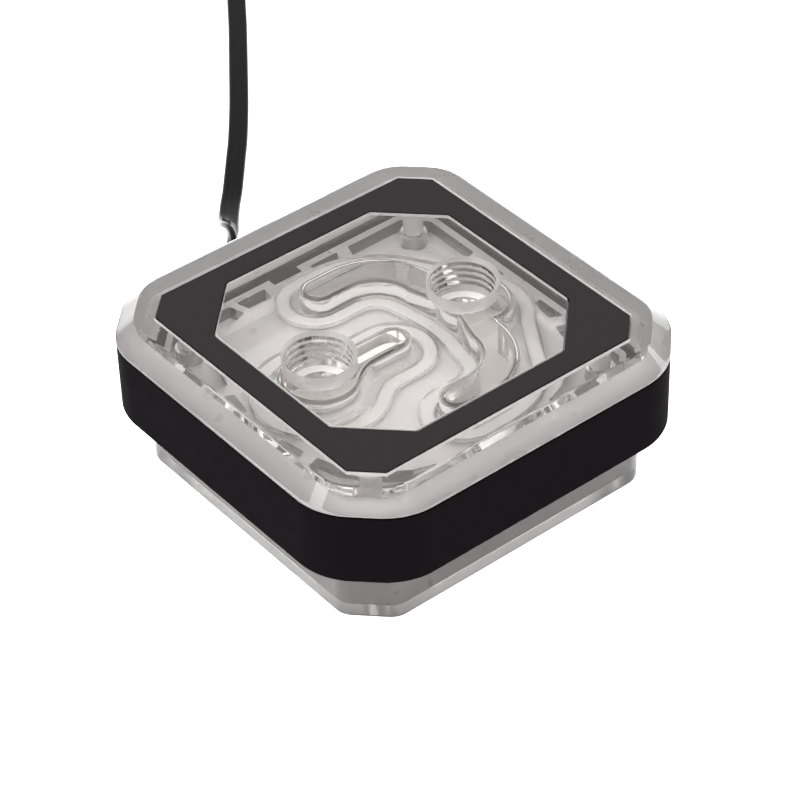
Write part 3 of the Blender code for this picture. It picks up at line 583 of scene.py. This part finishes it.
def make_sky():
    """Soft light from all round, shaded evenly from one side to the other."""
    world = bpy.data.worlds.new("studio")
    world.use_nodes = True
    bpy.context.scene.world = world
    tree = world.node_tree
    place = tree.nodes.new("ShaderNodeTexCoord")
    toward = tree.nodes.new("ShaderNodeVectorMath")
    toward.operation = "DOT_PRODUCT"
    toward.inputs[1].default_value = SKY_SIDE
    spread = tree.nodes.new("ShaderNodeMapRange")
    spread.inputs["From Min"].default_value = -1
    ramp = tree.nodes.new("ShaderNodeValToRGB")
    tree.links.new(place.outputs["Generated"], toward.inputs[0])
    tree.links.new(toward.outputs["Value"], spread.inputs["Value"])
    tree.links.new(spread.outputs["Result"], ramp.inputs["Fac"])
    ramp.color_ramp.elements[0].color = (*SKY_FAR, 1)
    ramp.color_ramp.elements[1].color = (*SKY_NEAR, 1)
    tree.links.new(ramp.outputs["Color"], tree.nodes["Background"].inputs["Color"])
    tree.nodes["Background"].inputs["Strength"].default_value = SKY_STRENGTH


def make_studio():
    """Floor, sky and lamps, with enough bounces for the clear walls."""
    make_floor()
    make_sky()
    for lamp in LAMPS:
        soft_light(*lamp)
    scene = bpy.context.scene
    scene.view_settings.view_transform = "Standard"
    scene.cycles.max_bounces = BOUNCES
    scene.cycles.transmission_bounces = BOUNCES
    scene.cycles.glossy_bounces = GLOSSY_BOUNCES


# The lead

def smooth_course(route, steps):
    """Points of a smooth curve through every point of a route."""
    padded = [2 * route[0] - route[1], *route, 2 * route[-1] - route[-2]]
    course = []
    for a, b, c, d in zip(padded, padded[1:], padded[2:], padded[3:]):
        for step in range(steps):
            t = step / steps
            course.append(0.5 * (2 * b + (c - a) * t + (2 * a - 5 * b + 4 * c - d) * t ** 2
                                 + (3 * b - a - 3 * c + d) * t ** 3))
    course.append(route[-1])
    return course


def coil_radius(turned):
    """The coil's radius after an angle turned."""
    return COIL_R - COIL_PITCH * turned / (2 * math.pi)


def coil_point(turned):
    """A point of the coil after an angle turned, clockwise and inwards."""
    angle = COIL_START - turned
    near_tie = math.remainder(angle - TIE_AT, 2 * math.pi)
    lift = TIE_LIFT * math.exp(-(near_tie / TIE_REACH) ** 2)
    place = COIL_CENTRE + Vector((math.cos(angle), math.sin(angle))) * coil_radius(turned)
    return Vector((place.x, place.y, LEAD_W / 2 + lift))


def tail_point(turn):
    """A point of the short tail that curls from the inner turn into the plug."""
    angle = COIL_START - 2 * math.pi * COIL_TURNS
    out = Vector((math.cos(angle), math.sin(angle)))
    along = Vector((out.y, -out.x))
    middle = COIL_CENTRE + out * (coil_radius(2 * math.pi * COIL_TURNS) - TAIL_R)
    place = middle + (out * math.cos(turn) + along * math.sin(turn)) * TAIL_R
    return Vector((place.x, place.y, LEAD_W / 2))


def ease(value):
    """A smooth step from 0 to 1."""
    value = min(max(value, 0), 1)
    return value * value * (3 - 2 * value)


def lead_path():
    """The lead's whole course, with the turn of its flat side at each point."""
    route = [LEAD_EXIT] + [Vector(point) * MM + REAR_WALL for point in LEAD_ROUTE]
    route.append(coil_point(0))
    course = smooth_course(route, 8)
    lengths = [0.0]
    for a, b in zip(course, course[1:]):
        lengths.append(lengths[-1] + (b - a).length)
    nearest = min(range(len(course)), key=lambda index: (course[index].xy - TWIST_AT).length)
    twist, end = lengths[nearest], lengths[-1]
    turns = [math.pi * ease((s - twist) / TWIST_LENGTH + 0.5)
             + math.pi / 2 * ease((s - end + RISE_FROM) / RISE_LENGTH) for s in lengths]
    steps = 90
    for step in range(1, steps + 1):
        course.append(coil_point(2 * math.pi * COIL_TURNS * step / steps))
        turns.append(1.5 * math.pi)
    bends = 14
    for step in range(1, bends + 1):
        share = step / bends
        course.append(tail_point(TAIL_TURN * share))
        turns.append(1.5 * math.pi + math.pi / 2 * ease(1.2 * share))
    for point, turn in zip(course, turns):
        rest = CORE_R + (LEAD_W / 2 - CORE_R) * abs(math.sin(turn))
        point.z = max(rest, point.z - LEAD_W / 2 + rest)
    return course, turns


def lead_section():
    """Outline of three round cores side by side, with the shallow grooves between them."""
    points = []
    for core, start, end in ((1, -120, 120), (0, 60, 120), (-1, 60, 300), (0, 240, 300)):
        points += arc(core * CORE_PITCH, 0, CORE_R, start, end, 8 if core else 3)
    return points


def swept_lead(course, turns):
    """The lead's section swept along its course, turned at each point."""
    section = lead_section()
    bm = bmesh.new()
    rings = []
    for index, (point, turn) in enumerate(zip(course, turns)):
        ahead = course[min(index + 1, len(course) - 1)] - course[max(index - 1, 0)]
        ahead.normalize()
        side = ahead.cross(Vector((0, 0, 1))).normalized()
        rise = side.cross(ahead)
        wide = side * math.cos(turn) + rise * math.sin(turn)
        thin = rise * math.cos(turn) - side * math.sin(turn)
        rings.append([bm.verts.new(point + wide * spot.x + thin * spot.y) for spot in section])
    join_rings(bm, rings, closed=False)
    return placed_mesh(bm, "lead")


def make_lead(made):
    """The lead as one cord, which stands for its three stretches in the solids."""
    course, turns = lead_path()
    lead = smooth(swept_lead(course, turns), 50)
    dress(lead, made, "lead_jacket", "lead_cable", "lead_coil", "lead_tail")


# The upper block

def thread(crest, root, pitch, height, sides, groove):
    """Angles and radii at one height of a thread whose V groove takes this share of the pitch."""
    points = []
    for step in range(sides):
        angle = 2 * math.pi * step / sides
        away = abs((height / pitch - step / sides) % 1 - 0.5) * 2
        depth = max(0, 1 - away / groove)
        points.append((angle, crest + (root - crest) * depth))
    return points


def port_sections(centre_x):
    """A port: through hole, flat floor, tapped bore and chamfered mouth."""
    centre = (centre_x, 0)
    floor = TOP_Z - PORT_DEPTH
    hole = circle(PORT_HOLE_R, PORT_SIDES, centre)
    sections = [(hole, TOP_BOTTOM + CHANNEL_DEPTH - PAST), (hole, floor),
                (circle(PORT_MINOR, PORT_SIDES, centre), floor)]
    relief = floor + PORT_RELIEF
    for step in range(PORT_STEPS + 1):
        height = relief + (TOP_Z - relief) * step / PORT_STEPS
        ramp = PORT_MINOR + (height - relief) * PORT_RUN_IN
        cone = PORT_MAJOR - (TOP_Z - height) * (PORT_MAJOR - PORT_MINOR) / PORT_CHAMFER
        outline = []
        for angle, radius in thread(PORT_MINOR, PORT_MAJOR, PORT_PITCH, height, PORT_SIDES, PORT_GROOVE):
            radius = max(min(radius, ramp), cone)
            outline.append(Vector((centre_x + radius * math.cos(angle), radius * math.sin(angle))))
        sections.append((outline, height))
    sections.append((circle(PORT_MAJOR, PORT_SIDES, centre), TOP_Z + PAST))
    return sections


def inlet_outline(chamber, half, steps=14):
    """The round chamber under the port, with a neck that leaves it smoothly and ends in a round nose."""
    wide = Vector((-PORT_X + chamber * math.cos(NECK_EDGE), chamber * math.sin(NECK_EDGE)))
    narrow = Vector((wide.x + NECK_LEAN * (wide.y - half) + NECK_EXTRA, half))
    pull = (narrow - wide).length
    leaving, arriving = Vector((math.sin(NECK_EDGE), -math.cos(NECK_EDGE))) * pull, Vector((pull, 0))
    upper = []
    for step in range(steps + 1):
        t = step / steps
        blend = t * t * (3 - 2 * t)
        upper.append(wide * (1 - blend) + narrow * blend
                     + leaving * t * (1 - t) ** 2 - arriving * t * t * (1 - t))
    nose = arc(0, 0, half, 90, -90, 25)
    edge = math.degrees(NECK_EDGE)
    back = arc(-PORT_X, 0, chamber, -edge, edge - 360, 42)
    return upper[1:] + nose + mirrored_y(upper[::-1])[:-1] + back[:-1]


def return_outline():
    """One curved return channel, from its closed end into the outlet's chamber."""
    end = arc(RETURN_X, BEND_Y + (BEND_OUT + BEND_IN) / 2, (BEND_OUT - BEND_IN) / 2, 90, 270, 20)
    inner = arc(BEND_X, BEND_Y, BEND_IN, 90, 0, 20)
    outer = arc(BEND_X, BEND_Y, BEND_OUT, 0, 90, 28)
    inside_chamber = [Vector((OUTLET_X - OUTLET_RX + PAST, PAST)), Vector((BEND_X + BEND_OUT, PAST))]
    return end + inner + inside_chamber + outer


def outlet_seal_path():
    """The seal round both return channels and the outlet port."""
    far = BEND_OUT + OUTLET_SEAL_OUT
    near = BEND_IN - OUTLET_SEAL_IN
    cap = (far - near) / 2
    upper = arc(RETURN_X, BEND_Y + near + cap, cap, 270, 90, 22)
    upper += arc(BEND_X, BEND_Y, far, 90, 25, 20)
    upper += arc(PORT_X, 0, OUTLET_SEAL_PORT, 48, 2, 14)
    inner_top = arc(BEND_X, BEND_Y, near, 0, 90, 14)
    bow = []
    for step in range(1, OUTLET_SEAL_BOW_STEPS):
        y = BEND_Y * (2 * step / OUTLET_SEAL_BOW_STEPS - 1)
        bow.append(Vector((BEND_X + near + OUTLET_SEAL_BOW * math.cos(math.pi * y / (2 * BEND_Y)), y)))
    return upper + mirrored_y(upper[::-1]) + mirrored_y(inner_top[::-1])[1:] + bow + inner_top[:-1]


def groove_sections(path, half_width, bottom, top):
    """A groove along a closed path, as the four edges of its profile."""
    inner, outer = [], []
    for index, point in enumerate(path):
        along = (path[(index + 1) % len(path)] - path[index - 1]).normalized()
        across = Vector((along.y, -along.x)) * half_width
        inner.append(point - across)
        outer.append(point + across)
    return [(inner, bottom), (outer, bottom), (outer, top), (inner, top)]


def corner_places():
    """The places of the four long screws."""
    return [Vector((x * CORNER_SCREW, y * CORNER_SCREW)) for y in (-1, 1) for x in (-1, 1)]


def plate_screw_places():
    """The places of the cold plate's eight screws."""
    places = []
    for near in (-PLATE_SCREW_SIDE, PLATE_SCREW_SIDE):
        for far in (-PLATE_SCREW_FAR, PLATE_SCREW_FAR):
            places += [Vector((near, far)), Vector((far, near))]
    return places


SEAL_PATHS = {
    "inlet_seal": inlet_outline(INLET_SEAL_R, INLET_SEAL_HALF),
    "outlet_seal": outlet_seal_path(),
}


def refinish(thing, made, chosen):
    """Gives some faces a finish of their own, chosen by their centre and normal."""
    mesh = thing.data
    mesh.materials.append(made)
    index = len(mesh.materials) - 1
    for face in mesh.polygons:
        if chosen(face.center, face.normal):
            face.material_index = index


def level(at, normal, height):
    """Whether a face lies flat at a height."""
    return abs(normal.z) > 0.99 and abs(at.z - height) < LEVEL_ROOM


def reach(at, outline):
    """How far out a place lies, in the half width of an octagon of this shape."""
    return max(abs(at.x), abs(at.y), abs(at.x) + abs(at.y) - outline.half + outline.leg)


def on_column(at, normal):
    """The upper block's sides inside the ring, and the step over the ring's lip."""
    return at.z < FLANGE_BOTTOM and abs(normal.z) < 0.1 and reach(at, COLUMN) > COLUMN_HALF - COLUMN_ROOM \
        or level(at, normal, TOP_BOTTOM + LIP_T + SEAT)


def on_pillar(at, normal):
    """The sides and the top of the lower block's corner pillars."""
    away = (Vector((abs(at.x), abs(at.y))) - Vector((CORNER_SCREW, CORNER_SCREW))).length
    return away < PILLAR_R + PILLAR_ROOM and at.z > BASE_TOP - POCKET_DEPTH + LEVEL_ROOM


def on_pocket_wall(at, normal):
    """The outer walls of the pockets, next to the light slot, which get grey painted shade."""
    outline = Outline(POCKET_FAR, POCKET_LEG, 0)
    return abs(normal.z) < 0.1 and BASE_TOP - POCKET_DEPTH < at.z < BASE_TOP \
        and abs(reach(at, outline) - POCKET_FAR) < POCKET_ROOM


def on_top_edge(at, normal):
    """The narrow broken edge between the top face and the bevel, well outside the ports."""
    return 0.1 < normal.z < 0.95 and at.z > TOP_Z - BEVEL_EDGE / 2 and reach(at, FACE) > TRIM_HALF + PAST


def in_trim_groove(at, normal):
    """The side walls of the trim's groove."""
    return abs(normal.z) < 0.1 and at.z > GROOVE_Z and reach(at, WINDOW) > WINDOW.half - GROOVE_ROOM


def made_of(cutter, made):
    """The material that a cut leaves behind."""
    cutter.data.materials.append(made)
    return cutter


def top_sections():
    """The upper block from its underside: column with the step for the ring's lip, flange and bevel."""
    edge, edge_run = 0.2 * MM, 0.4 * MM
    lip_top = TOP_BOTTOM + LIP_T + SEAT
    land = FLANGE_BOTTOM + FLANGE_LAND
    share = edge_run / (TOP_Z - land)
    inside_lip = octagon(inset(COLUMN, LIP_W))
    return [
        (octagon(inset(COLUMN, LIP_W + edge)), TOP_BOTTOM), (inside_lip, TOP_BOTTOM + edge),
        (inside_lip, lip_top), (octagon(COLUMN), lip_top), (octagon(COLUMN), FLANGE_BOTTOM),
        (octagon(inset(RING, BEVEL_EDGE / 2)), FLANGE_BOTTOM),
        (octagon(RING), FLANGE_BOTTOM + BEVEL_EDGE / 3), (octagon(RING), land),
        (octagon(between(RING, FACE, share)), land + BEVEL_EDGE),
        (octagon(between(RING, FACE, 1 - share)), TOP_Z - BEVEL_EDGE / 2),
        (octagon(inset(FACE, BEVEL_EDGE / 2)), TOP_Z),
    ]


def trim_groove():
    """Cutter for the groove that the trim lies in."""
    outside, inside = octagon(inset(TRIM, -SEAT), 4), octagon(inset(WINDOW, SEAT), 4)
    top = TOP_Z + PAST
    sections = [(outside, GROOVE_Z), (outside, top), (inside, top), (inside, GROOVE_Z)]
    return solid("groove", sections, closed=True)


def channels():
    """Cutters for the inlet's channel, both return channels and the outlet's chamber, open below."""
    chamber = arc(OUTLET_X, 0, OUTLET_RX, 0, 354, 59, OUTLET_RY)
    outlines = {"inlet": inlet_outline(INLET_R, INLET_HALF), "return": return_outline(),
                "return_mirrored": mirrored_y(return_outline()), "outlet": chamber}
    return [solid(name, rounded_top(outline, TOP_BOTTOM - PAST, TOP_BOTTOM + CHANNEL_DEPTH, CHANNEL_FILLET))
            for name, outline in outlines.items()]


def corner_screw_bores():
    """Cutter for the four long screws and their heads."""
    steps = []
    for place in corner_places():
        narrow, wide = circle(CORNER_R + SEAT, 32, place), circle(CORNER_HEAD_R + SEAT, 32, place)
        steps.append([(narrow, TOP_BOTTOM - PAST), (narrow, CORNER_SEAT), (wide, CORNER_SEAT), (wide, TOP_Z)])
    return solid("bores", *steps)


def make_clear_top(finish):
    """The upper block: what is milled into it is cut out, and each cut leaves its own finish."""
    block = made_of(solid("acrylic_top", top_sections()), finish.polished)
    groove, ways = trim_groove(), channels()
    ports = solid("ports", port_sections(-PORT_X), port_sections(PORT_X))
    seats = [solid("seat", groove_sections(path, SEAL_HALF + SEAL_SIDE, TOP_BOTTOM - PAST,
                                           TOP_BOTTOM + SEAL_T + SEAT), closed=True)
             for path in SEAL_PATHS.values()]
    cutters = [groove, *ways, ports, *seats, corner_screw_bores()]
    finishes = {"ports": finish.tapped, "bores": finish.wall}
    for cutter in cutters:
        made_of(cutter, finishes.get(cutter.name, finish.milled))
    for way in ways:
        # The channels' sloping fillets get the dark tint, painted shade along their edges
        refinish(way, finish.rim, lambda at, normal: 0.35 < normal.z < 0.95)
    for seat in seats:
        refinish(seat, finish.tapped, lambda at, normal: abs(normal.z) < 0.5)
    # The ports' chamfered mouths get painted shade
    refinish(ports, finish.mouth, lambda at, normal: at.z > TOP_Z - PORT_CHAMFER and normal.z < -0.5)
    # The thread's flanks get the grey tint, painted shade lines in the bore
    refinish(ports, finish.flank, lambda at, normal: at.z < TOP_Z - PORT_CHAMFER and normal.z < -0.45)
    carve(block, *cutters)
    # Grey painted shade on the flange's underside and on the floor of the trim's groove
    refinish(block, finish.matt,
             lambda at, normal: level(at, normal, FLANGE_BOTTOM) or level(at, normal, GROOVE_Z))
    refinish(block, finish.pale, lambda at, normal: level(at, normal, TOP_Z - PORT_DEPTH))
    refinish(block, finish.wall, lambda at, normal: on_column(at, normal) or in_trim_groove(at, normal)
             or on_top_edge(at, normal))
    smooth(block)
    dress(block, None, "clear_acrylic", "clear_top")


# The lower block

def quarters(shape):
    """A shape of one corner in all four."""
    return [[Matrix.Rotation(math.pi / 2 * quarter, 2) @ point for point in shape] for quarter in range(4)]


def pockets(name, outlines):
    """Cutter for the pockets of these outlines."""
    return solid(name, *[prism(filleted(outline, POCKET_FILLET, 3), BASE_TOP - POCKET_DEPTH, BASE_TOP + PAST)
                         for outline in outlines])


def bores(name, places, radius, sides, bottom, top):
    """Cutter of one upright bore at each place."""
    return solid(name, *[prism(circle(radius, sides, place), bottom, top) for place in places])


def side_pockets():
    """Trapezia beside the middle of each wall; they are wide only where no seal runs close by."""
    wide = [Vector(point) for point in WIDE_POCKET]
    slim = [Vector(point) for point in SLIM_POCKET]
    outlines = [wide, slim, mirrored_y(wide), mirrored_y(slim)]
    for side in (-1, 1):
        outlines += [[Vector((side * point.y, point.x)) for point in slim],
                     [Vector((side * point.y, -point.x)) for point in slim]]
    return pockets("side_pockets",
                   [outline if turns_left(outline) else outline[::-1] for outline in outlines])


def corner_pockets():
    """Pockets round the corner screws' pillars."""
    cut = POCKET_FAR - POCKET_LEG
    shape = [Vector((CORNER_POCKET_END, POCKET_FAR)), Vector((cut, POCKET_FAR)), Vector((POCKET_FAR, cut)),
             Vector((POCKET_FAR, CORNER_POCKET_END))]
    near = [Vector(point) for point in CORNER_POCKET_NEAR]
    shape += near + [Vector((point.y, point.x)) for point in reversed(near[:-1])]
    bottom, top = BASE_TOP - POCKET_DEPTH - PAST, BASE_TOP + 2 * PAST
    pillars = bores("pillars", corner_places(), PILLAR_R, 40, bottom, top)
    return carve(pockets("corner_pockets", quarters(shape)), pillars)


def water_ways():
    """Cutters for the cold plate's recess and for the water's way down to its fins and back up."""
    middle = RETURN_X + RETURN_LENGTH / 2
    slots = [prism(rectangle(RETURN_LENGTH / 2 + RETURN_HALF, RETURN_HALF, RETURN_HALF * 0.98, 12,
                             (middle, side * RETURN_Y)), JET_Z - PAST, BASE_TOP + PAST) for side in (-1, 1)]
    path = rectangle(PLATE_SEAL_X, PLATE_SEAL_Y, PLATE_SEAL_CORNER, 12)
    seat = groove_sections(path, PLATE_SEAL_R + PLATE_SEAL_SIDE, RECESS_Z - PAST,
                           RECESS_Z + 2 * PLATE_SEAL_R + SEAT)
    return [
        solid("recess", prism(octagon(inset(PLATE, -SEAT)), FOOT - PAST, RECESS_Z)),
        solid("cavity", prism(rectangle(*CAVITY, CAVITY_CORNER, 8), RECESS_Z - PAST, JET_Z)),
        solid("jet_pocket", prism(rectangle(*JET_POCKET), RECESS_Z + SEAT, JET_TOP)),
        solid("manifold", prism(rectangle(*MANIFOLD, MANIFOLD_CORNER, 8), JET_Z, JET_TOP + MANIFOLD_DEPTH)),
        solid("jet_hole", prism(rectangle(*JET_HOLE, JET_HOLE_CORNER, 8), JET_Z, BASE_TOP + PAST)),
        solid("slots", *slots),
        solid("plate_groove", seat, closed=True),
    ]


def light_ways():
    """Cutters for the light slot and the notch in its rear wall."""
    outer, inner = octagon(inset(COLUMN, SLOT_WALL)), octagon(inset(COLUMN, SLOT_WALL + SLOT_W))
    floor, top = BASE_TOP - SLOT_DEPTH, BASE_TOP + PAST
    notch = rectangle(NOTCH_HALF, NOTCH_W, centre=(-NOTCH_SHIFT, COLUMN_HALF - SLOT_WALL - SLOT_W))
    return [solid("light_slot", [(outer, floor), (outer, top), (inner, top), (inner, floor)], closed=True),
            solid("notch", prism(notch, floor, top))]


def screw_ways():
    """Cutters for the bores of the four long screws and of the cold plate's eight."""
    screw_top = high("plate_screw_1").z + SEAT
    return [bores("corner_bores", corner_places(), CORNER_R + SEAT, 32, FOOT - PAST, BASE_TOP + PAST),
            bores("plate_bores", plate_screw_places(), PLATE_SCREW_R + SEAT, 24, RECESS_Z - PAST, screw_top)]


def lead_way():
    """Cutter for the hole in the rear wall that the lead leaves by."""
    way = solid("lead_way", prism(circle(LEAD_WAY_R, 40), -SLOT_WALL - PAST, SLOT_WALL + PAST))
    rear = Matrix.Translation((0, COLUMN_HALF - SLOT_WALL / 2, LEAD_EXIT.z))
    way.data.transform(rear @ Matrix.Rotation(-math.pi / 2, 4, "X"))
    return way


def make_base(finish):
    """The lower block: what is milled into it is cut out, and each cut leaves its own finish."""
    sections = [(octagon(inset(COLUMN, FOOT_EDGE / 3)), FOOT), (octagon(COLUMN), FOOT + FOOT_EDGE),
                (octagon(COLUMN), BASE_TOP - FOOT_EDGE / 2),
                (octagon(inset(COLUMN, FOOT_EDGE / 2)), BASE_TOP)]
    base = made_of(solid("acrylic_base", sections), finish.polished)
    cutters = [*water_ways(), *light_ways(), side_pockets(), corner_pockets(), *screw_ways(), lead_way()]
    # The light slot and its notch get dark painted shade
    finishes = {"side_pockets": finish.pale, "corner_pockets": finish.pale, "recess": finish.wall,
                "plate_groove": finish.wall, "light_slot": finish.dim, "notch": finish.dim,
                "corner_bores": finish.tapped}
    for cutter in cutters:
        made_of(cutter, finishes.get(cutter.name, finish.milled))
    carve(base, *cutters)
    refinish(base, finish.pale, lambda at, normal: level(at, normal, BASE_TOP))
    refinish(base, finish.wall, lambda at, normal: level(at, normal, BASE_TOP - POCKET_DEPTH))
    refinish(base, finish.tapped, lambda at, normal: level(at, normal, FOOT))
    # The foot's chamfer gets painted shade, a dark line along the bottom edge
    refinish(base, finish.dim, lambda at, normal: at.z < FOOT + FOOT_EDGE and -0.9 < normal.z < -0.1)
    refinish(base, finish.tapped, on_pillar)
    # Grey painted shade on the pockets' outer walls
    refinish(base, finish.matt, on_pocket_wall)
    smooth(base)
    dress(base, None, "clear_acrylic", "base_body")


# Other pieces

def make_ring(made):
    """The ring round the column, with the lip that the two blocks trap."""
    edge, softened = 0.35 * MM, 0.105 * MM
    full, less, least = octagon(RING), octagon(inset(RING, softened)), octagon(inset(RING, edge))
    bore, lip = octagon(inset(COLUMN, -SEAT)), octagon(inset(COLUMN, LIP_W - SEAT))
    lip_low, lip_high = TOP_BOTTOM, TOP_BOTTOM + LIP_T
    sections = [(least, RING_BOTTOM), (less, RING_BOTTOM + softened), (full, RING_BOTTOM + edge),
                (full, RING_TOP - edge), (less, RING_TOP - softened), (least, RING_TOP),
                (bore, RING_TOP), (bore, lip_high), (lip, lip_high), (lip, lip_low), (bore, lip_low),
                (bore, RING_BOTTOM)]
    dress(smooth(solid("black_ring", sections, closed=True)), made, "black_anodised", "outer_ring")


def make_trim(made):
    """The eight-sided frame, flush in the top."""
    edge = 0.12 * MM
    outside, inside = octagon(TRIM, 4), octagon(WINDOW, 4)
    sections = [(outside, TRIM_LOW), (outside, TOP_Z - edge), (octagon(inset(TRIM, edge), 4), TOP_Z),
                (octagon(inset(WINDOW, -edge), 4), TOP_Z), (inside, TOP_Z - edge), (inside, TRIM_LOW)]
    dress(smooth(solid("top_trim", sections, closed=True)), made, "black_trim", "trim_frame")


def flat_seal(name, path, made):
    """A flat silicone seal with rounded edges along a closed path."""
    middle = TOP_BOTTOM + SEAL_T / 2
    sections = []
    for step in range(16):
        turn = 2 * math.pi * (step + 0.5) / 16
        wide = math.copysign(abs(math.cos(turn)) ** 0.5, math.cos(turn)) * SEAL_HALF
        tall = math.copysign(abs(math.sin(turn)) ** 0.5, math.sin(turn)) * SEAL_T / 2
        sections.append((groove_sections(path, wide, 0, 0)[1][0], middle + tall))
    dress(smooth(solid(name + "_cord", sections, closed=True), 50), made, "silicone", name)


def make_seals(silicone):
    """The two flat channel seals and the cold plate's O-ring."""
    for name, path in SEAL_PATHS.items():
        flat_seal(name, path, silicone)
    path = rectangle(PLATE_SEAL_X, PLATE_SEAL_Y, PLATE_SEAL_CORNER, 12)
    curve = bpy.data.curves.new("plate_seal_cord", "CURVE")
    curve.dimensions = "3D"
    curve.bevel_depth = PLATE_SEAL_R
    curve.bevel_resolution = 6
    spline = curve.splines.new("POLY")
    spline.points.add(len(path) - 1)
    for point, place in zip(spline.points, path):
        point.co = (place.x, place.y, RECESS_Z + PLATE_SEAL_R, 1)
    spline.use_cyclic_u = True
    dress(placed("plate_seal_cord", curve), silicone, "silicone", "plate_seal")


def shank_sections(radius, pitch, length):
    """A threaded shank from its tapered tip to the head."""
    sections = []
    count = int(length / pitch * 10)
    for step in range(count + 1):
        height = length * step / count
        taper = min(1, 0.6 + height / (2 * pitch))
        outline = []
        for angle, local in thread(radius, radius - THREAD_DEPTH * pitch, pitch, height, SCREW_SIDES, 1):
            local *= taper
            outline.append(Vector((local * math.cos(angle), local * math.sin(angle))))
        sections.append((outline, height))
    return sections


def head_sections(radius, height, seat):
    """A round head above its seat, with a broken edge and a hex socket."""
    top = seat + height
    hexagon = []
    for step in range(SCREW_SIDES):
        angle = 2 * math.pi * step / SCREW_SIDES
        off_flat = (angle + math.pi / 6) % (math.pi / 3) - math.pi / 6
        hexagon.append(Vector((math.cos(angle), math.sin(angle))) * radius * SOCKET_FLAT / math.cos(off_flat))
    return [(circle(radius - 0.05 * MM, SCREW_SIDES), seat), (circle(radius, SCREW_SIDES), seat + 0.1 * MM),
            (circle(radius, SCREW_SIDES), top - SCREW_EDGE), (circle(radius - SCREW_EDGE, SCREW_SIDES), top),
            (offset(hexagon, -SOCKET_EDGE), top), (hexagon, top - SOCKET_EDGE),
            (hexagon, top - height * SOCKET_DEPTH)]


def screw(name, radius, pitch, head_height, node, made, head_down=False):
    """A socket-head screw with its thread, made in the box of its solid."""
    bottom, top = low(node).z, high(node).z
    centre = (low(node) + high(node)).xy / 2
    head_radius = (high(node).x - low(node).x) / 2
    seat = top - bottom - head_height
    thing = solid(name, shank_sections(radius, pitch, seat) + head_sections(head_radius, head_height, seat))
    move = Matrix.Translation((*centre, top if head_down else bottom))
    if head_down:
        move = move @ Matrix.Rotation(math.pi, 4, "X")
    thing.data.transform(move)
    dress(smooth(thing, 40), made, "stainless_steel", node)


def make_lights(film, lens):
    """The film that stands in the slot, and the lights on it."""
    bottom, top = low("led_strip").z, high("led_strip").z
    outer = octagon(inset(COLUMN, SLOT_WALL + STRIP_GAP))
    inner = octagon(inset(COLUMN, SLOT_WALL + STRIP_GAP + STRIP_T))
    strip = solid("light_film", [(outer, bottom), (outer, top), (inner, top), (inner, bottom)], closed=True)
    dress(smooth(strip), film, "strip_film", "led_strip")
    for number in range(1, LIGHTS + 1):
        node = f"led_{number}"
        middle, size = (low(node) + high(node)) / 2, high(node) - low(node)
        out = Vector((0, middle.y, 0)) if abs(middle.y) > abs(middle.x) else Vector((middle.x, 0, 0))
        place = middle + out.normalized() * LIGHT_SHIFT
        outline = rectangle(size.x / 2, size.y / 2, 0.1 * MM, 3, (place.x, place.y))
        light = solid(f"light_{number}", prism(outline, low(node).z, high(node).z))
        dress(smooth(light), lens, "led_white", node)


def make_screws(made):
    """The four long screws, and the eight of the cold plate with their heads down."""
    for number in range(1, 5):
        screw(f"corner_screw_{number}", CORNER_R, CORNER_PITCH, CORNER_HEAD_H, f"top_screw_{number}", made)
    for number in range(1, 9):
        screw(f"bottom_screw_{number}", PLATE_SCREW_R, PLATE_PITCH, PLATE_HEAD_H, f"plate_screw_{number}",
              made, head_down=True)


def repaint(made, *names):
    """Gives solids that are shown as they are their material."""
    for name in names:
        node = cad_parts[name]
        node.data.materials.clear()
        node.data.materials.append(made)


def main():
    """Builds the scene: camera, studio and lead first, then the blocks and what they hold."""
    make_camera()
    make_studio()
    make_lead(painted("lead_jacket_black", (0.002, 0.002, 0.0025), 0.13, 0.0005 * MM, 0.05))
    acrylics = make_acrylics()
    make_clear_top(acrylics)
    make_base(acrylics)
    make_ring(painted("matt_black", (0.004, 0.0033, 0.004), 0.65, 0.001 * MM, 0.006))
    make_trim(painted("satin_black", (0.013, 0.012, 0.0125), 0.5, 0.001 * MM, 0.065))
    make_seals(silicone_rubber())
    make_screws(metal("screw_steel", (0.62, 0.61, 0.6), 0.25, (1, 1, 1)))
    make_lights(painted("strip_film", (0.045, 0.035, 0.028), 0.5, 0.003 * MM, 0.1),
                painted("led_cap", (0.8, 0.76, 0.55), 0.3, 0.001 * MM))
    repaint(metal("nickel_plate", (0.92, 0.86, 0.76), 0.38, (1, 8, 1)), "cold_plate")
    repaint(metal("jet_steel", (0.66, 0.65, 0.64), 0.22, (8, 1, 1)), "jet_plate")
    repaint(painted("rubber_black", (0.015, 0.015, 0.015), 0.6, 0.004 * MM), "cable_grommet")
    repaint(painted("plug_black", (0.016, 0.016, 0.017), 0.45, 0.003 * MM), "connector_shell", "cable_tie")
    repaint(metal("contact_metal", (0.8, 0.62, 0.3), 0.25, (1, 1, 1)), "contact_1", "contact_2", "contact_3")


main()
